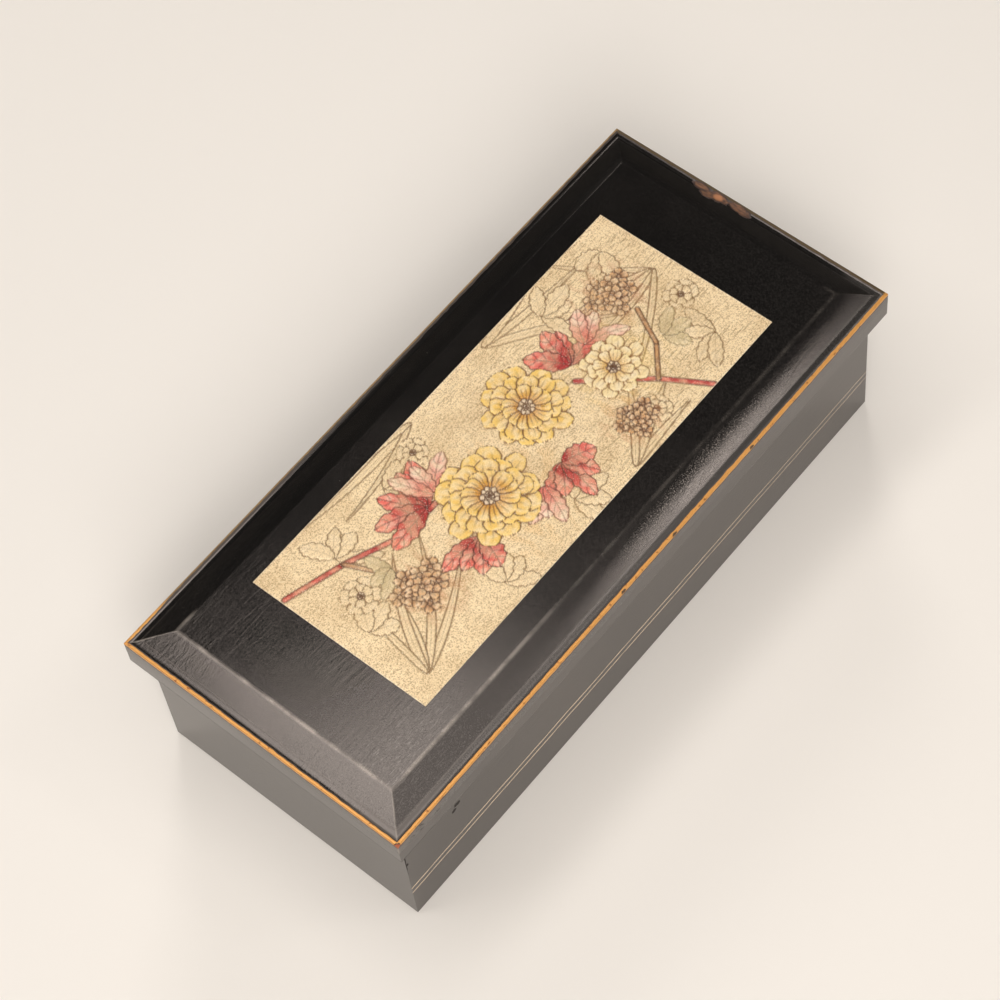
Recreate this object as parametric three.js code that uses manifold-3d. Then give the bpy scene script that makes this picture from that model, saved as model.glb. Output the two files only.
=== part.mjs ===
import * as THREE from 'three';
import { mergeVertices } from 'three/addons/utils/BufferGeometryUtils.js';
import Module from 'manifold-3d';

// A lacquered musical jewelry box: wooden case, hinged lid with a picture panel and a mirror,
// lined ring tray, and a wind-up comb movement under a clear cover. Millimetres, +Z up.
// The origin is on the table under the middle of the box, +X along the long side,
// and the front, with its painted lines, faces -Y.

const wasm = await Module();
wasm.setup();

// Case
const lidLength = 190;
const lidWidth = 87;
const lidOverhang = 3.3;
const caseHeight = 41;
const wallThickness = 5;
const baseRecess = 9.5;
const baseThickness = 3;
const grooveDepth = 2;

// Lid
const lidGap = 0.25;
const lidRailHeight = 5;
const lidBoardEdge = 4.35;
const rimFlat = 0.7;
const coveWidth = 2.2;
const coveDip = 0.15;
const coveSteps = 4;
const slopeFootRise = 0.22;
const slopeSwell = 0.22;
const slopeSteps = 5;
const mouldingInset = 9.4;
const topFieldRise = 2.8;

// Picture panel, a little off the middle as it is on the box
const panelLength = 134;
const panelWidth = 54.8;
const panelThickness = 0.4;
const panelShiftX = 2.4;
const panelShiftY = 0.8;

// Mirror and the frame that holds it in the lid
const mirrorThickness = 2;
const mirrorFrameBorder = 11;
const mirrorLap = 4;
const mirrorFrameLip = 2;

// Joint clearances: glued faces, pieces cut to fit, and running fits
const glueGap = 0.05;
const cutGap = 0.3;
const runningGap = 0.12;

// Hinges
const hingeFromEnd = 36.7;
const hingeLength = 20;
const hingeAxisBehindCase = 0.4;
const knuckleRadius = 1.5;
const middleKnuckleLength = 6.8;
const leafThickness = 0.8;
const leafDepth = 4.2;
const hingePinRadius = 0.6;
const hingeScrewSpacing = 12;
const hingeScrewInset = 2.6;
const hingeScrewRadius = 0.6;
const hingeScrewHeadRadius = 1.1;
const hingeScrewHeadHeight = 0.6;
const hingeScrewLength = 3.6;

// Lining, ring rolls and divider
const liningThickness = 1.2;
const liningDrop = 1.6;
const dividerThickness = 3;
const dividerFromPlate = 4.3;
const ringRollCount = 3;
const ringRollWidth = 11;
const ringRollHeight = 13;
const ringRollTopFlat = 0.9;
const ringRollFoot = 0.9;
const ringRollGap = 0.5;
const floorPadHeight = 3;
const floorPadEdge = 1.4;
const floorPadCorner = 4;
const floorPadCrown = 1;
const padDrawIn = 0.5;

// Clear cover over the movement
const coverThickness = 2;
const coverDrop = 3;
const coverNotchRadius = 6;
const coverNotchFromDivider = 14;
const ledgeHeight = 3;
const ledgeDepth = 3;
const ledgeLength = 44;
const ledgeFromBack = 4;

// Movement: its plate near the right wall, and the spring barrel that stands on it
const plateFromWall = 2.7;
const plateAcross = 45;
const plateThickness = 2.5;
const plateMargin = 1.4;
const barrelFromPlateEdge = 18;
const barrelRadius = 10.3;
const barrelHeight = 7.6;
const barrelWall = 0.8;
const barrelLift = 0.35;
const windingArborRadius = 1.6;
const windingArborTop = 1.4;
const mainspringTurns = 5;
const mainspringThickness = 0.4;

// Toothed wheels
const crownTeeth = 36;
const crownRadius = 11;
const crownBandWidth = 2.2;
const crownDiscThickness = 1;
const crownToothHeight = 1.4;
const crownToothWidth = 0.4;
const crownToothSink = 0.2;
const pinionTeeth = 9;
const pinionAddendum = 0.5;
const pinionDedendum = 0.8;
const cylinderGearTeeth = 36;
const governorPinionTeeth = 8;
const fineModule = 0.36;
const fineAddendum = 0.3;
const fineDedendum = 0.5;
const wormWheelTeeth = 28;
const wormWheelRadius = 4.5;
const toothRootShare = 0.446;
const toothTipShare = 0.245;
const wheelThickness = 1.5;
const fineFaceWidth = 2;

// Cylinder and its bearings
const drumRadius = 6;
const drumLength = 21;
const arborRadius = 1;
const bearingThickness = 1.6;
const bearingWidth = 7;
const bearingSpace = 0.9;
const closeSpace = 0.4;

// Comb
const combTeeth = 18;
const combThickness = 1;
const combHeelDepth = 8;
const combToothLength = 11;
const combSlit = 0.3;
const combFromDrum = 0.9;
const combScrewRadius = 1;
const combScrewHeadRadius = 2;
const combScrewHeadHeight = 1.3;
const combScrewLength = 6;
const combScrewSpacing = 12;

// Governor: the fan that keeps the tune at an even speed
const governorDrop = 30;
const governorArborRadius = 0.5;
const governorPlateThickness = 0.8;
const governorPlateWidth = 4;
const wormRadius = 1.2;
const wormTurns = 7;
const wormPitch = 1;
const wormDepth = 0.35;
const wormClearance = 0.2;
const fanShaftRadius = 0.5;
const fanShaftFoot = 0.8;
const fanRadius = 4.2;
const fanBladeHeight = 4.6;
const fanBladeThickness = 0.3;
const fanHubRadius = 0.95;
const fanBottomAbovePlate = 13.4;
const fanBracketThickness = 1;
const fanBracketWidth = 4;

// Stop lever: the lid holds it down against the fan and lets it rise
const leverPivotFromFan = 20;
const leverThickness = 1.2;
const leverHeight = 1.8;
const leverPinRadius = 0.8;
const leverUprightFromFan = 8.3;
const leverUprightWidth = 1.6;
const leverPostThickness = 2;
const leverFromFan = 0.35;
const leverSlotRoom = 4;
const leverSlotSide = 1.2;

// Screws that hold the movement to the base, and the key
const movementScrewRadius = 1.5;
const movementScrewHeadRadius = 2.8;
const movementScrewHeadHeight = 1.5;
const movementScrewEdge = 4.5;
const keySpan = 22;
const keyHeight = 6.6;
const keyThickness = 1.6;
const keyWaist = 0.55;
const keyHubRadius = 3;
const keyTableClearance = 1;

// Sides of round pieces
const screwSides = 12;
const roundSides = 16;
const knuckleSides = 24;
const wheelSides = 36;

// Places worked out from the sizes above
const halfLength = lidLength / 2 - lidOverhang;
const halfWidth = lidWidth / 2 - lidOverhang;
const innerX = halfLength - wallThickness;
const innerY = halfWidth - wallThickness;
const floorZ = baseRecess + baseThickness;
const lidBottom = caseHeight + lidGap;
const boardBottom = lidBottom + lidRailHeight;
const rimZ = boardBottom + lidBoardEdge;
const fieldZ = rimZ + topFieldRise;
const hingeOffset = halfLength - hingeFromEnd;
const hingeY = halfWidth + hingeAxisBehindCase;
const hingeZ = caseHeight + lidGap / 2;
const coverTop = caseHeight - coverDrop;
const coverBottom = coverTop - coverThickness;
const plateRight = innerX - plateFromWall;
const plateLeft = plateRight - plateAcross;
const barrelX = plateRight - barrelFromPlateEdge;

// Helpers

function solid(geometry) {
  const bare = geometry.clone();
  for (const name of Object.keys(bare.attributes)) {
    if (name !== 'position') bare.deleteAttribute(name);
  }
  const merged = mergeVertices(bare, 1e-4);
  const mesh = new wasm.Mesh({
    numProp: 3,
    vertProperties: new Float32Array(merged.attributes.position.array),
    triVerts: new Uint32Array(merged.index.array),
  });
  return new wasm.Manifold(mesh);
}

function fromSolid(manifold) {
  const mesh = manifold.getMesh();
  return indexed(Array.from(mesh.vertProperties), Array.from(mesh.triVerts));
}

function indexed(positions, indices) {
  const geometry = new THREE.BufferGeometry();
  geometry.setAttribute('position', new THREE.Float32BufferAttribute(positions, 3));
  geometry.setIndex(indices);
  geometry.computeVertexNormals();
  return geometry;
}

function joined(geometries) {
  return fromSolid(geometries.map(solid).reduce((sum, next) => sum.add(next)));
}

function cut(geometry, tools) {
  return fromSolid(tools.map(solid).reduce((rest, tool) => rest.subtract(tool), solid(geometry)));
}

function block([x0, x1], [y0, y1], [z0, z1]) {
  const geometry = new THREE.BoxGeometry(x1 - x0, y1 - y0, z1 - z0);
  return geometry.translate((x0 + x1) / 2, (y0 + y1) / 2, (z0 + z1) / 2);
}

// A round bar from z0 to z1, standing at x, y
function rod(radius, [z0, z1], x, y, sides = roundSides) {
  const geometry = new THREE.CylinderGeometry(radius, radius, z1 - z0, sides);
  return geometry.rotateX(Math.PI / 2).translate(x, y, (z0 + z1) / 2);
}

// A round bar lying along Y
function rodY(radius, [y0, y1], x, z, sides = roundSides) {
  return new THREE.CylinderGeometry(radius, radius, y1 - y0, sides).translate(x, (y0 + y1) / 2, z);
}

// A round bar lying along X
function rodX(radius, [x0, x1], y, z, sides = roundSides) {
  const geometry = new THREE.CylinderGeometry(radius, radius, x1 - x0, sides);
  return geometry.rotateZ(Math.PI / 2).translate((x0 + x1) / 2, y, z);
}

function plate(points, [z0, z1]) {
  const shape = new THREE.Shape(points.map(([x, y]) => new THREE.Vector2(x, y)));
  const geometry = new THREE.ExtrudeGeometry(shape, { depth: z1 - z0, bevelEnabled: false });
  return geometry.translate(0, 0, z0);
}

// The same plate stood up to face along Y: its outline is in X and Z
function plateFacingY(points, [y0, y1]) {
  const geometry = plate(points.map(([x, z]) => [x, -z]), [y0, y1]);
  return geometry.rotateX(-Math.PI / 2);
}

// Closed loops of points, all with the same count, skinned into one solid
function skinned(loops) {
  const count = loops[0].length;
  const positions = loops.flat(2);
  const indices = [];
  for (let ring = 0; ring + 1 < loops.length; ring += 1) {
    for (let i = 0; i < count; i += 1) {
      const a = ring * count + i;
      const b = ring * count + ((i + 1) % count);
      indices.push(a, b, b + count, a, b + count, a + count);
    }
  }
  for (const [ring, up] of [[0, false], [loops.length - 1, true]]) {
    const centre = positions.length / 3;
    for (let axis = 0; axis < 3; axis += 1) {
      const sum = loops[ring].reduce((total, point) => total + point[axis], 0);
      positions.push(sum / count);
    }
    for (let i = 0; i < count; i += 1) {
      const a = ring * count + i;
      const b = ring * count + ((i + 1) % count);
      indices.push(centre, up ? a : b, up ? b : a);
    }
  }
  return indexed(positions, indices);
}

function rectangleLoop(halfX, halfY, z) {
  return [[-halfX, -halfY, z], [halfX, -halfY, z], [halfX, halfY, z], [-halfX, halfY, z]];
}

// A bar for one side of a box with mitred ends. The section is in [depth from the outer face, height]
function mitredBar(section, halfRun, halfAcross) {
  const ends = [-1, 1].map((side) => section.map(([depth, z]) => {
    const reach = halfRun - depth - glueGap / 2;
    return [side * reach, -(halfAcross - depth), z];
  }));
  const count = section.length;
  const contour = section.map(([depth, z]) => new THREE.Vector2(depth, z));
  const indices = [];
  for (let i = 0; i < count; i += 1) {
    const next = (i + 1) % count;
    indices.push(i, next, next + count, i, next + count, i + count);
  }
  for (const [a, b, c] of THREE.ShapeUtils.triangulateShape(contour, [])) {
    indices.push(a, c, b, a + count, b + count, c + count);
  }
  const bar = indexed(ends.flat(2), indices);
  return solid(bar).volume() < 0 ? indexed(ends.flat(2), indices.reverse()) : bar;
}

function frontBar(section) {
  return mitredBar(section, halfLength, halfWidth);
}

function endBar(section) {
  return mitredBar(section, halfWidth, halfLength).rotateZ(-Math.PI / 2);
}

function gearOutline(teeth, pitchRadius, addendum, dedendum, phase) {
  const points = [];
  const step = (2 * Math.PI) / teeth;
  const rootHalf = step * toothRootShare / 2;
  const tipHalf = step * toothTipShare / 2;
  for (let tooth = 0; tooth < teeth; tooth += 1) {
    const middle = phase + tooth * step;
    const root = pitchRadius - dedendum;
    const tip = pitchRadius + addendum;
    for (const [radius, angle] of [
      [root, middle - rootHalf],
      [tip, middle - tipHalf],
      [tip, middle + tipHalf],
      [root, middle + rootHalf],
    ]) {
      points.push([radius * Math.cos(angle), radius * Math.sin(angle)]);
    }
  }
  return points;
}

// A wheel whose axis lies along Y
function wheelY(outline, [y0, y1], x, z) {
  return plateFacingY(outline, [y0, y1]).translate(x, 0, z);
}

// A soft form: rounded rectangular rings, narrower towards the top, sides drawn in between corners
function cushion(halfX, halfY, rings, cornerRadius, drawIn) {
  const cornerSteps = 4;
  const sideSteps = 4;
  const roundest = 0.9;
  const loops = rings.map(([inset, z]) => {
    const a = halfX - inset;
    const b = halfY - inset;
    const radius = Math.min(cornerRadius, roundest * a, roundest * b);
    const points = [];
    for (const [sx, sy, turn] of [[1, 1, 0], [-1, 1, 1], [-1, -1, 2], [1, -1, 3]]) {
      for (let i = 0; i <= cornerSteps; i += 1) {
        const angle = (turn + i / cornerSteps) * Math.PI / 2;
        points.push([
          sx * (a - radius) + radius * Math.cos(angle),
          sy * (b - radius) + radius * Math.sin(angle),
          z,
        ]);
      }
      const from = points[points.length - 1];
      const along = turn % 2 === 0 ? [-sx * 2 * (a - radius), 0] : [0, -sy * 2 * (b - radius)];
      for (let i = 1; i < sideSteps; i += 1) {
        const share = i / sideSteps;
        const pull = drawIn * Math.sin(Math.PI * share);
        const inward = turn % 2 === 0 ? [0, -sy * pull] : [-sx * pull, 0];
        points.push([
          from[0] + along[0] * share + inward[0],
          from[1] + along[1] * share + inward[1],
          z,
        ]);
      }
    }
    return points;
  });
  return skinned(loops);
}

const box = new THREE.Group();
box.name = 'musical_jewelry_box';

function piece(name, geometry, material, x = 0, y = 0, z = 0) {
  const mesh = new THREE.Mesh(geometry, material);
  mesh.name = name;
  mesh.position.set(x, y, z);
  box.add(mesh);
}

function finish(color, roughness, metalness = 0) {
  return new THREE.MeshStandardMaterial({ color, roughness, metalness });
}

const lacquer = finish(0x0c0c0d, 0.3);
const blackBoard = finish(0x17130f, 0.7);
const panelFoil = finish(0xdcc9a0, 0.45, 0.2);
const mirrorGlass = finish(0xcfd6d8, 0.05, 1);
const velvet = finish(0x6d1020, 0.95);
const brass = finish(0xb08d45, 0.35, 1);
const steel = finish(0xb9bcc0, 0.35, 1);
const zinc = finish(0x9a9da1, 0.5, 1);
const clear = finish(0xe8eef0, 0.08);
const whiteNylon = finish(0xe6e2d6, 0.5);

// Case walls, mitred at the corners and grooved inside for the base board

const grooveTop = floorZ + glueGap;
const grooveBottom = baseRecess - glueGap;
const wallSection = [
  [0, 0],
  [wallThickness, 0],
  [wallThickness, grooveBottom],
  [wallThickness - grooveDepth, grooveBottom],
  [wallThickness - grooveDepth, grooveTop],
  [wallThickness, grooveTop],
  [wallThickness, caseHeight],
  [0, caseHeight],
];

// Room cut in the back wall and in the back lid rail for both hinges
function hingeCuts() {
  const cuts = [];
  for (const side of [-1, 1]) {
    const x = side * hingeOffset;
    const reach = hingeLength / 2 + cutGap;
    cuts.push(rodX(knuckleRadius + cutGap, [x - reach, x + reach], hingeY, hingeZ, knuckleSides));
    cuts.push(block(
      [x - reach, x + reach],
      [hingeY - leafDepth - cutGap, hingeY],
      [caseHeight - leafThickness - glueGap, lidBottom + leafThickness + glueGap],
    ));
    for (const end of [-1, 1]) {
      cuts.push(rod(
        hingeScrewRadius + glueGap,
        [hingeZ - hingeScrewLength - lidGap, hingeZ + hingeScrewLength + lidGap],
        x + end * hingeScrewSpacing / 2,
        hingeY - hingeScrewInset,
        screwSides,
      ));
    }
  }
  return cuts;
}

piece('case_front_wall', frontBar(wallSection), lacquer);
piece('case_back_wall', cut(frontBar(wallSection).rotateZ(Math.PI), hingeCuts()), lacquer);
piece('case_left_wall', endBar(wallSection), lacquer);
piece('case_right_wall', endBar(wallSection).rotateZ(Math.PI), lacquer);

// Movement heights and places

const plateZ = floorZ + glueGap;
const plateTop = plateZ + plateThickness;
const barrelBottom = plateTop + barrelLift;
const discBottom = barrelBottom + barrelHeight + glueGap;
const discTop = discBottom + crownDiscThickness;
const fanFromBarrel = crownRadius + 4 * bearingSpace + 2 * bearingThickness + drumLength
  + governorPlateThickness + fineFaceWidth + 2 * closeSpace + wheelThickness / 2;
const barrelY = (fanFromBarrel + fanRadius - crownRadius) / 2;
const crownPitchRadius = crownRadius - crownBandWidth / 2;
const pinionPitchRadius = crownPitchRadius * pinionTeeth / crownTeeth;
const axisZ = discTop + pinionDedendum + pinionPitchRadius;
const pinionNear = barrelY - crownRadius;
const pinionFar = pinionNear + crownBandWidth;
const bearingNear = pinionNear - bearingSpace - bearingThickness;
const drumBack = bearingNear - bearingSpace;
const drumFront = drumBack - drumLength;
const gearBack = drumFront - governorPlateThickness - 2 * bearingSpace;
const gearFront = gearBack - fineFaceWidth;
const frontBearingBack = gearFront - closeSpace;
const frontBearing = frontBearingBack - bearingThickness;
const gearRadius = fineModule * cylinderGearTeeth / 2;
const governorPinionRadius = fineModule * governorPinionTeeth / 2;
const dropAngle = THREE.MathUtils.degToRad(governorDrop);
const governorX = barrelX + (gearRadius + governorPinionRadius) * Math.cos(dropAngle);
const governorZ = axisZ - (gearRadius + governorPinionRadius) * Math.sin(dropAngle);
const wormWheelBack = frontBearing - closeSpace;
const wormWheelFront = wormWheelBack - wheelThickness;
const fanY = (wormWheelBack + wormWheelFront) / 2;
const wormWheelTip = wormWheelRadius + fineAddendum;
const fanX = governorX + wormWheelTip + wormClearance + wormRadius;
const plateBack = barrelY + crownRadius + plateMargin;
const plateFront = fanY - fanRadius - plateMargin;

// Base board, with its holes for the winding arbor and the movement's screws

const screwPlaces = [
  [plateLeft + movementScrewEdge, plateBack - movementScrewEdge],
  [plateLeft + movementScrewEdge, plateFront + movementScrewEdge],
  [plateRight - movementScrewEdge, plateBack - movementScrewEdge],
];
const boardX = innerX + grooveDepth - cutGap;
const boardY = innerY + grooveDepth - cutGap;

piece('base_board', cut(
  block([-boardX, boardX], [-boardY, boardY], [baseRecess, floorZ]),
  [
    rod(keyHubRadius, [baseRecess - cutGap, floorZ + cutGap], barrelX, barrelY),
    ...screwPlaces.map(([x, y]) => rod(
      movementScrewRadius + runningGap,
      [baseRecess - cutGap, floorZ + cutGap],
      x,
      y,
      screwSides,
    )),
  ],
), blackBoard);

// Lid: a moulded board on four mitred rails

const slopeStart = rimFlat + coveWidth;

function coveHeight(share) {
  const fall = 2 * coveDip * (1 + Math.sqrt(1 + slopeFootRise / coveDip));
  return rimZ - fall * share + (fall + slopeFootRise) * share ** 2;
}

function slopeHeight(share) {
  const swell = Math.sin(share * Math.PI / 2);
  const rise = topFieldRise - slopeFootRise;
  return rimZ + slopeFootRise + rise * (slopeSwell * swell + (1 - slopeSwell) * share);
}

const boardLoops = [[0, boardBottom], [0, rimZ], [rimFlat, rimZ]];
for (let i = 1; i <= coveSteps; i += 1) {
  const share = i / coveSteps;
  boardLoops.push([rimFlat + coveWidth * share, coveHeight(share)]);
}
for (let i = 1; i <= slopeSteps; i += 1) {
  const share = i / slopeSteps;
  boardLoops.push([slopeStart + (mouldingInset - slopeStart) * share, slopeHeight(share)]);
}
piece('lid_board', skinned(boardLoops.map(([inset, z]) => (
  rectangleLoop(lidLength / 2 - inset, lidWidth / 2 - inset, z)
))), lacquer);

const railDepth = lidOverhang + wallThickness;
const railSection = [
  [-lidOverhang, lidBottom],
  [railDepth - lidOverhang, lidBottom],
  [railDepth - lidOverhang, boardBottom - glueGap],
  [-lidOverhang, boardBottom - glueGap],
];
piece('lid_front_rail', frontBar(railSection), lacquer);
piece('lid_back_rail', cut(frontBar(railSection).rotateZ(Math.PI), hingeCuts()), lacquer);
piece('lid_left_rail', endBar(railSection), lacquer);
piece('lid_right_rail', endBar(railSection).rotateZ(Math.PI), lacquer);

piece('picture_panel', block(
  [panelShiftX - panelLength / 2, panelShiftX + panelLength / 2],
  [panelShiftY - panelWidth / 2, panelShiftY + panelWidth / 2],
  [fieldZ + glueGap, fieldZ + glueGap + panelThickness],
), panelFoil);

// Mirror, let into the back of a frame that fills the lid's recess

const windowHalfX = innerX - mirrorFrameBorder;
const windowHalfY = innerY - mirrorFrameBorder;
const mirrorHalfX = windowHalfX + mirrorLap;
const mirrorHalfY = windowHalfY + mirrorLap;
const mirrorTop = boardBottom - glueGap;
const mirrorBottom = mirrorTop - mirrorThickness;
const mirrorFrameBottom = mirrorBottom - mirrorFrameLip;
piece('lid_mirror', block(
  [-mirrorHalfX, mirrorHalfX],
  [-mirrorHalfY, mirrorHalfY],
  [mirrorBottom, mirrorTop],
), mirrorGlass);
piece('mirror_frame', cut(
  block(
    [-innerX + glueGap, innerX - glueGap],
    [-innerY + glueGap, innerY - glueGap],
    [mirrorFrameBottom, mirrorTop],
  ),
  [
    block(
      [-mirrorHalfX - glueGap, mirrorHalfX + glueGap],
      [-mirrorHalfY - glueGap, mirrorHalfY + glueGap],
      [mirrorBottom - glueGap, boardBottom],
    ),
    block(
      [-windowHalfX, windowHalfX],
      [-windowHalfY, windowHalfY],
      [mirrorFrameBottom - cutGap, boardBottom],
    ),
  ],
), velvet);

// Two brass butt hinges

function hingeLeaf(side, isLid) {
  const x = side * hingeOffset;
  const ends = [x - hingeLength / 2, x + hingeLength / 2];
  const middle = [x - middleKnuckleLength / 2, x + middleKnuckleLength / 2];
  const room = [middle[0] - cutGap, middle[1] + cutGap];
  const leafZ = isLid
    ? [lidBottom, lidBottom + leafThickness]
    : [caseHeight - leafThickness, caseHeight];
  const knuckles = isLid ? [middle] : [[ends[0], room[0]], [room[1], ends[1]]];
  const leaf = block(ends, [hingeY - leafDepth, hingeY], leafZ);
  const clearOfOther = isLid
    ? [[ends[0] - cutGap, middle[0]], [middle[1], ends[1] + cutGap]]
    : [room];
  const flat = cut(leaf, clearOfOther.map((span) => (
    rodX(knuckleRadius + cutGap, span, hingeY, hingeZ, knuckleSides)
  )));
  const body = joined([
    flat,
    ...knuckles.map((span) => rodX(knuckleRadius, span, hingeY, hingeZ, knuckleSides)),
  ]);
  const holes = [-1, 1].map((end) => rod(
    hingeScrewRadius + runningGap,
    [leafZ[0] - cutGap, leafZ[1] + cutGap],
    x + end * hingeScrewSpacing / 2,
    hingeY - hingeScrewInset,
    screwSides,
  ));
  const bore = rodX(
    hingePinRadius + runningGap,
    [ends[0] - cutGap, ends[1] + cutGap],
    hingeY,
    hingeZ,
  );
  return cut(body, [bore, ...holes]);
}

// A countersunk wood screw, its flat head level with the leaf
function hingeScrew(x, isLid) {
  const profile = [
    [0, -hingeScrewLength],
    [hingeScrewRadius / 2, -hingeScrewLength + hingeScrewRadius],
    [hingeScrewRadius, -hingeScrewLength + 2 * hingeScrewRadius],
    [hingeScrewRadius, -hingeScrewHeadHeight],
    [hingeScrewHeadRadius, 0],
    [0, 0],
  ].map(([radius, z]) => new THREE.Vector2(radius, z));
  const geometry = new THREE.LatheGeometry(profile, screwSides).rotateX(Math.PI / 2);
  if (isLid) geometry.rotateX(Math.PI);
  const z = isLid ? lidBottom : caseHeight;
  return geometry.translate(x, hingeY - hingeScrewInset, z);
}

// The hole that a screw head is sunk in
function countersink(geometry, x, isLid) {
  const depth = hingeScrewHeadHeight;
  const sink = new THREE.CylinderGeometry(
    hingeScrewHeadRadius + glueGap,
    hingeScrewRadius + glueGap,
    depth + glueGap,
    screwSides,
  ).rotateX(Math.PI / 2);
  if (isLid) sink.rotateX(Math.PI);
  const z = isLid ? lidBottom + depth / 2 : caseHeight - depth / 2;
  return cut(geometry, [sink.translate(x, hingeY - hingeScrewInset, z)]);
}

for (const [side, label] of [[-1, 'left'], [1, 'right']]) {
  for (const isLid of [false, true]) {
    const part = isLid ? 'lid' : 'case';
    let leaf = hingeLeaf(side, isLid);
    for (const [end, number] of [[-1, 1], [1, 2]]) {
      const x = side * hingeOffset + end * hingeScrewSpacing / 2;
      leaf = countersink(leaf, x, isLid);
      piece(`${label}_hinge_${part}_screw_${number}`, hingeScrew(x, isLid), brass);
    }
    piece(`${label}_hinge_${part}_leaf`, leaf, brass);
  }
  const x = side * hingeOffset;
  piece(`${label}_hinge_pin`, rodX(
    hingePinRadius,
    [x - hingeLength / 2 - cutGap / 2, x + hingeLength / 2 + cutGap / 2],
    hingeY,
    hingeZ,
  ), brass);
}

// Velvet linings on the walls of the jewelry side, and the divider

const liningTop = caseHeight - liningDrop;
const dividerRight = plateLeft - dividerFromPlate;
const dividerLeft = dividerRight - dividerThickness;
const liningX = [-innerX + glueGap, dividerLeft - glueGap];
const liningZ = [floorZ + glueGap, liningTop];
for (const [name, side] of [['lining_front', -1], ['lining_back', 1]]) {
  const faces = [side * (innerY - glueGap), side * (innerY - glueGap - liningThickness)];
  piece(name, block(liningX, faces.sort((a, b) => a - b), liningZ), velvet);
}
const linedY = innerY - 2 * glueGap - liningThickness;
piece('lining_left', block(
  [liningX[0], liningX[0] + liningThickness],
  [-linedY, linedY],
  liningZ,
), velvet);
piece('divider', block(
  [dividerLeft, dividerRight],
  [-innerY + glueGap, innerY - glueGap],
  [floorZ + glueGap, coverBottom - glueGap],
), velvet);

// Ring rolls at the left end and a padded floor beside them

const rollStart = liningX[0] + liningThickness + ringRollGap;
const rollPitch = ringRollWidth + ringRollGap;
const rollShoulder = ringRollWidth / 2;
const rollSteps = 5;
const rollRings = [[ringRollFoot, 0]];
for (let i = 0; i <= rollSteps; i += 1) {
  const angle = (i / rollSteps) * Math.PI / 2;
  rollRings.push([
    (rollShoulder - ringRollTopFlat / 2) * (1 - Math.cos(angle)),
    ringRollHeight - rollShoulder + rollShoulder * Math.sin(angle),
  ]);
}
for (let i = 0; i < ringRollCount; i += 1) {
  piece(`ring_roll_${i + 1}`, cushion(
    rollShoulder,
    linedY - ringRollGap,
    rollRings,
    ringRollWidth / 3,
    padDrawIn / 2,
  ), velvet, rollStart + rollShoulder + i * rollPitch, 0, floorZ + glueGap);
}

const padLeft = rollStart + ringRollCount * rollPitch;
const padRight = dividerLeft - ringRollGap;
const padHalfX = (padRight - padLeft) / 2;
const padHalfY = linedY - ringRollGap;
const padRings = [];
for (const angle of [-90, -30, 30, 90].map(THREE.MathUtils.degToRad)) {
  padRings.push([
    floorPadEdge * (1 - Math.cos(angle)),
    floorPadHeight * (1 + Math.sin(angle)) / 2,
  ]);
}
const crownSteps = 3;
for (let i = 1; i <= crownSteps; i += 1) {
  const share = i / (crownSteps + 1);
  padRings.push([
    floorPadEdge + (padHalfY - floorPadEdge) * share,
    floorPadHeight + floorPadCrown * Math.sin(share * Math.PI / 2),
  ]);
}
piece('floor_pad', cushion(padHalfX, padHalfY, padRings, floorPadCorner, padDrawIn), velvet,
  (padLeft + padRight) / 2, 0, floorZ + glueGap);

// Movement bedplate: one casting with the comb bed, the bearings and the lever's post

const axisHole = arborRadius + runningGap;
const combTop = axisZ + combThickness / 2;
const combBedTop = axisZ - combThickness / 2 - glueGap;
const combTipX = barrelX - drumRadius - combFromDrum;
const combHeelX = combTipX - combToothLength;
const combBackX = combHeelX - combHeelDepth;
const combY = (drumFront + drumBack) / 2;
const leverX = fanX - leverThickness / 2;
const leverPivotY = fanY + leverPivotFromFan;
const leverUprightY = fanY + leverUprightFromFan;
const fanBottom = plateTop + fanBottomAbovePlate;
const fanTop = fanBottom + fanBladeHeight;
const leverPivotZ = fanTop - leverHeight;

function bearing(x, z, [y0, y1], width) {
  return block([x - width / 2, x + width / 2], [y0, y1], [plateTop - cutGap, z + width / 2]);
}

const governorBackPlate = [drumFront - bearingSpace - governorPlateThickness, drumFront - bearingSpace];
const governorFrontPlate = [
  wormWheelFront - closeSpace - governorPlateThickness,
  wormWheelFront - closeSpace,
];
const leverPostX = fanX + leverThickness / 2 + cutGap;

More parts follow.
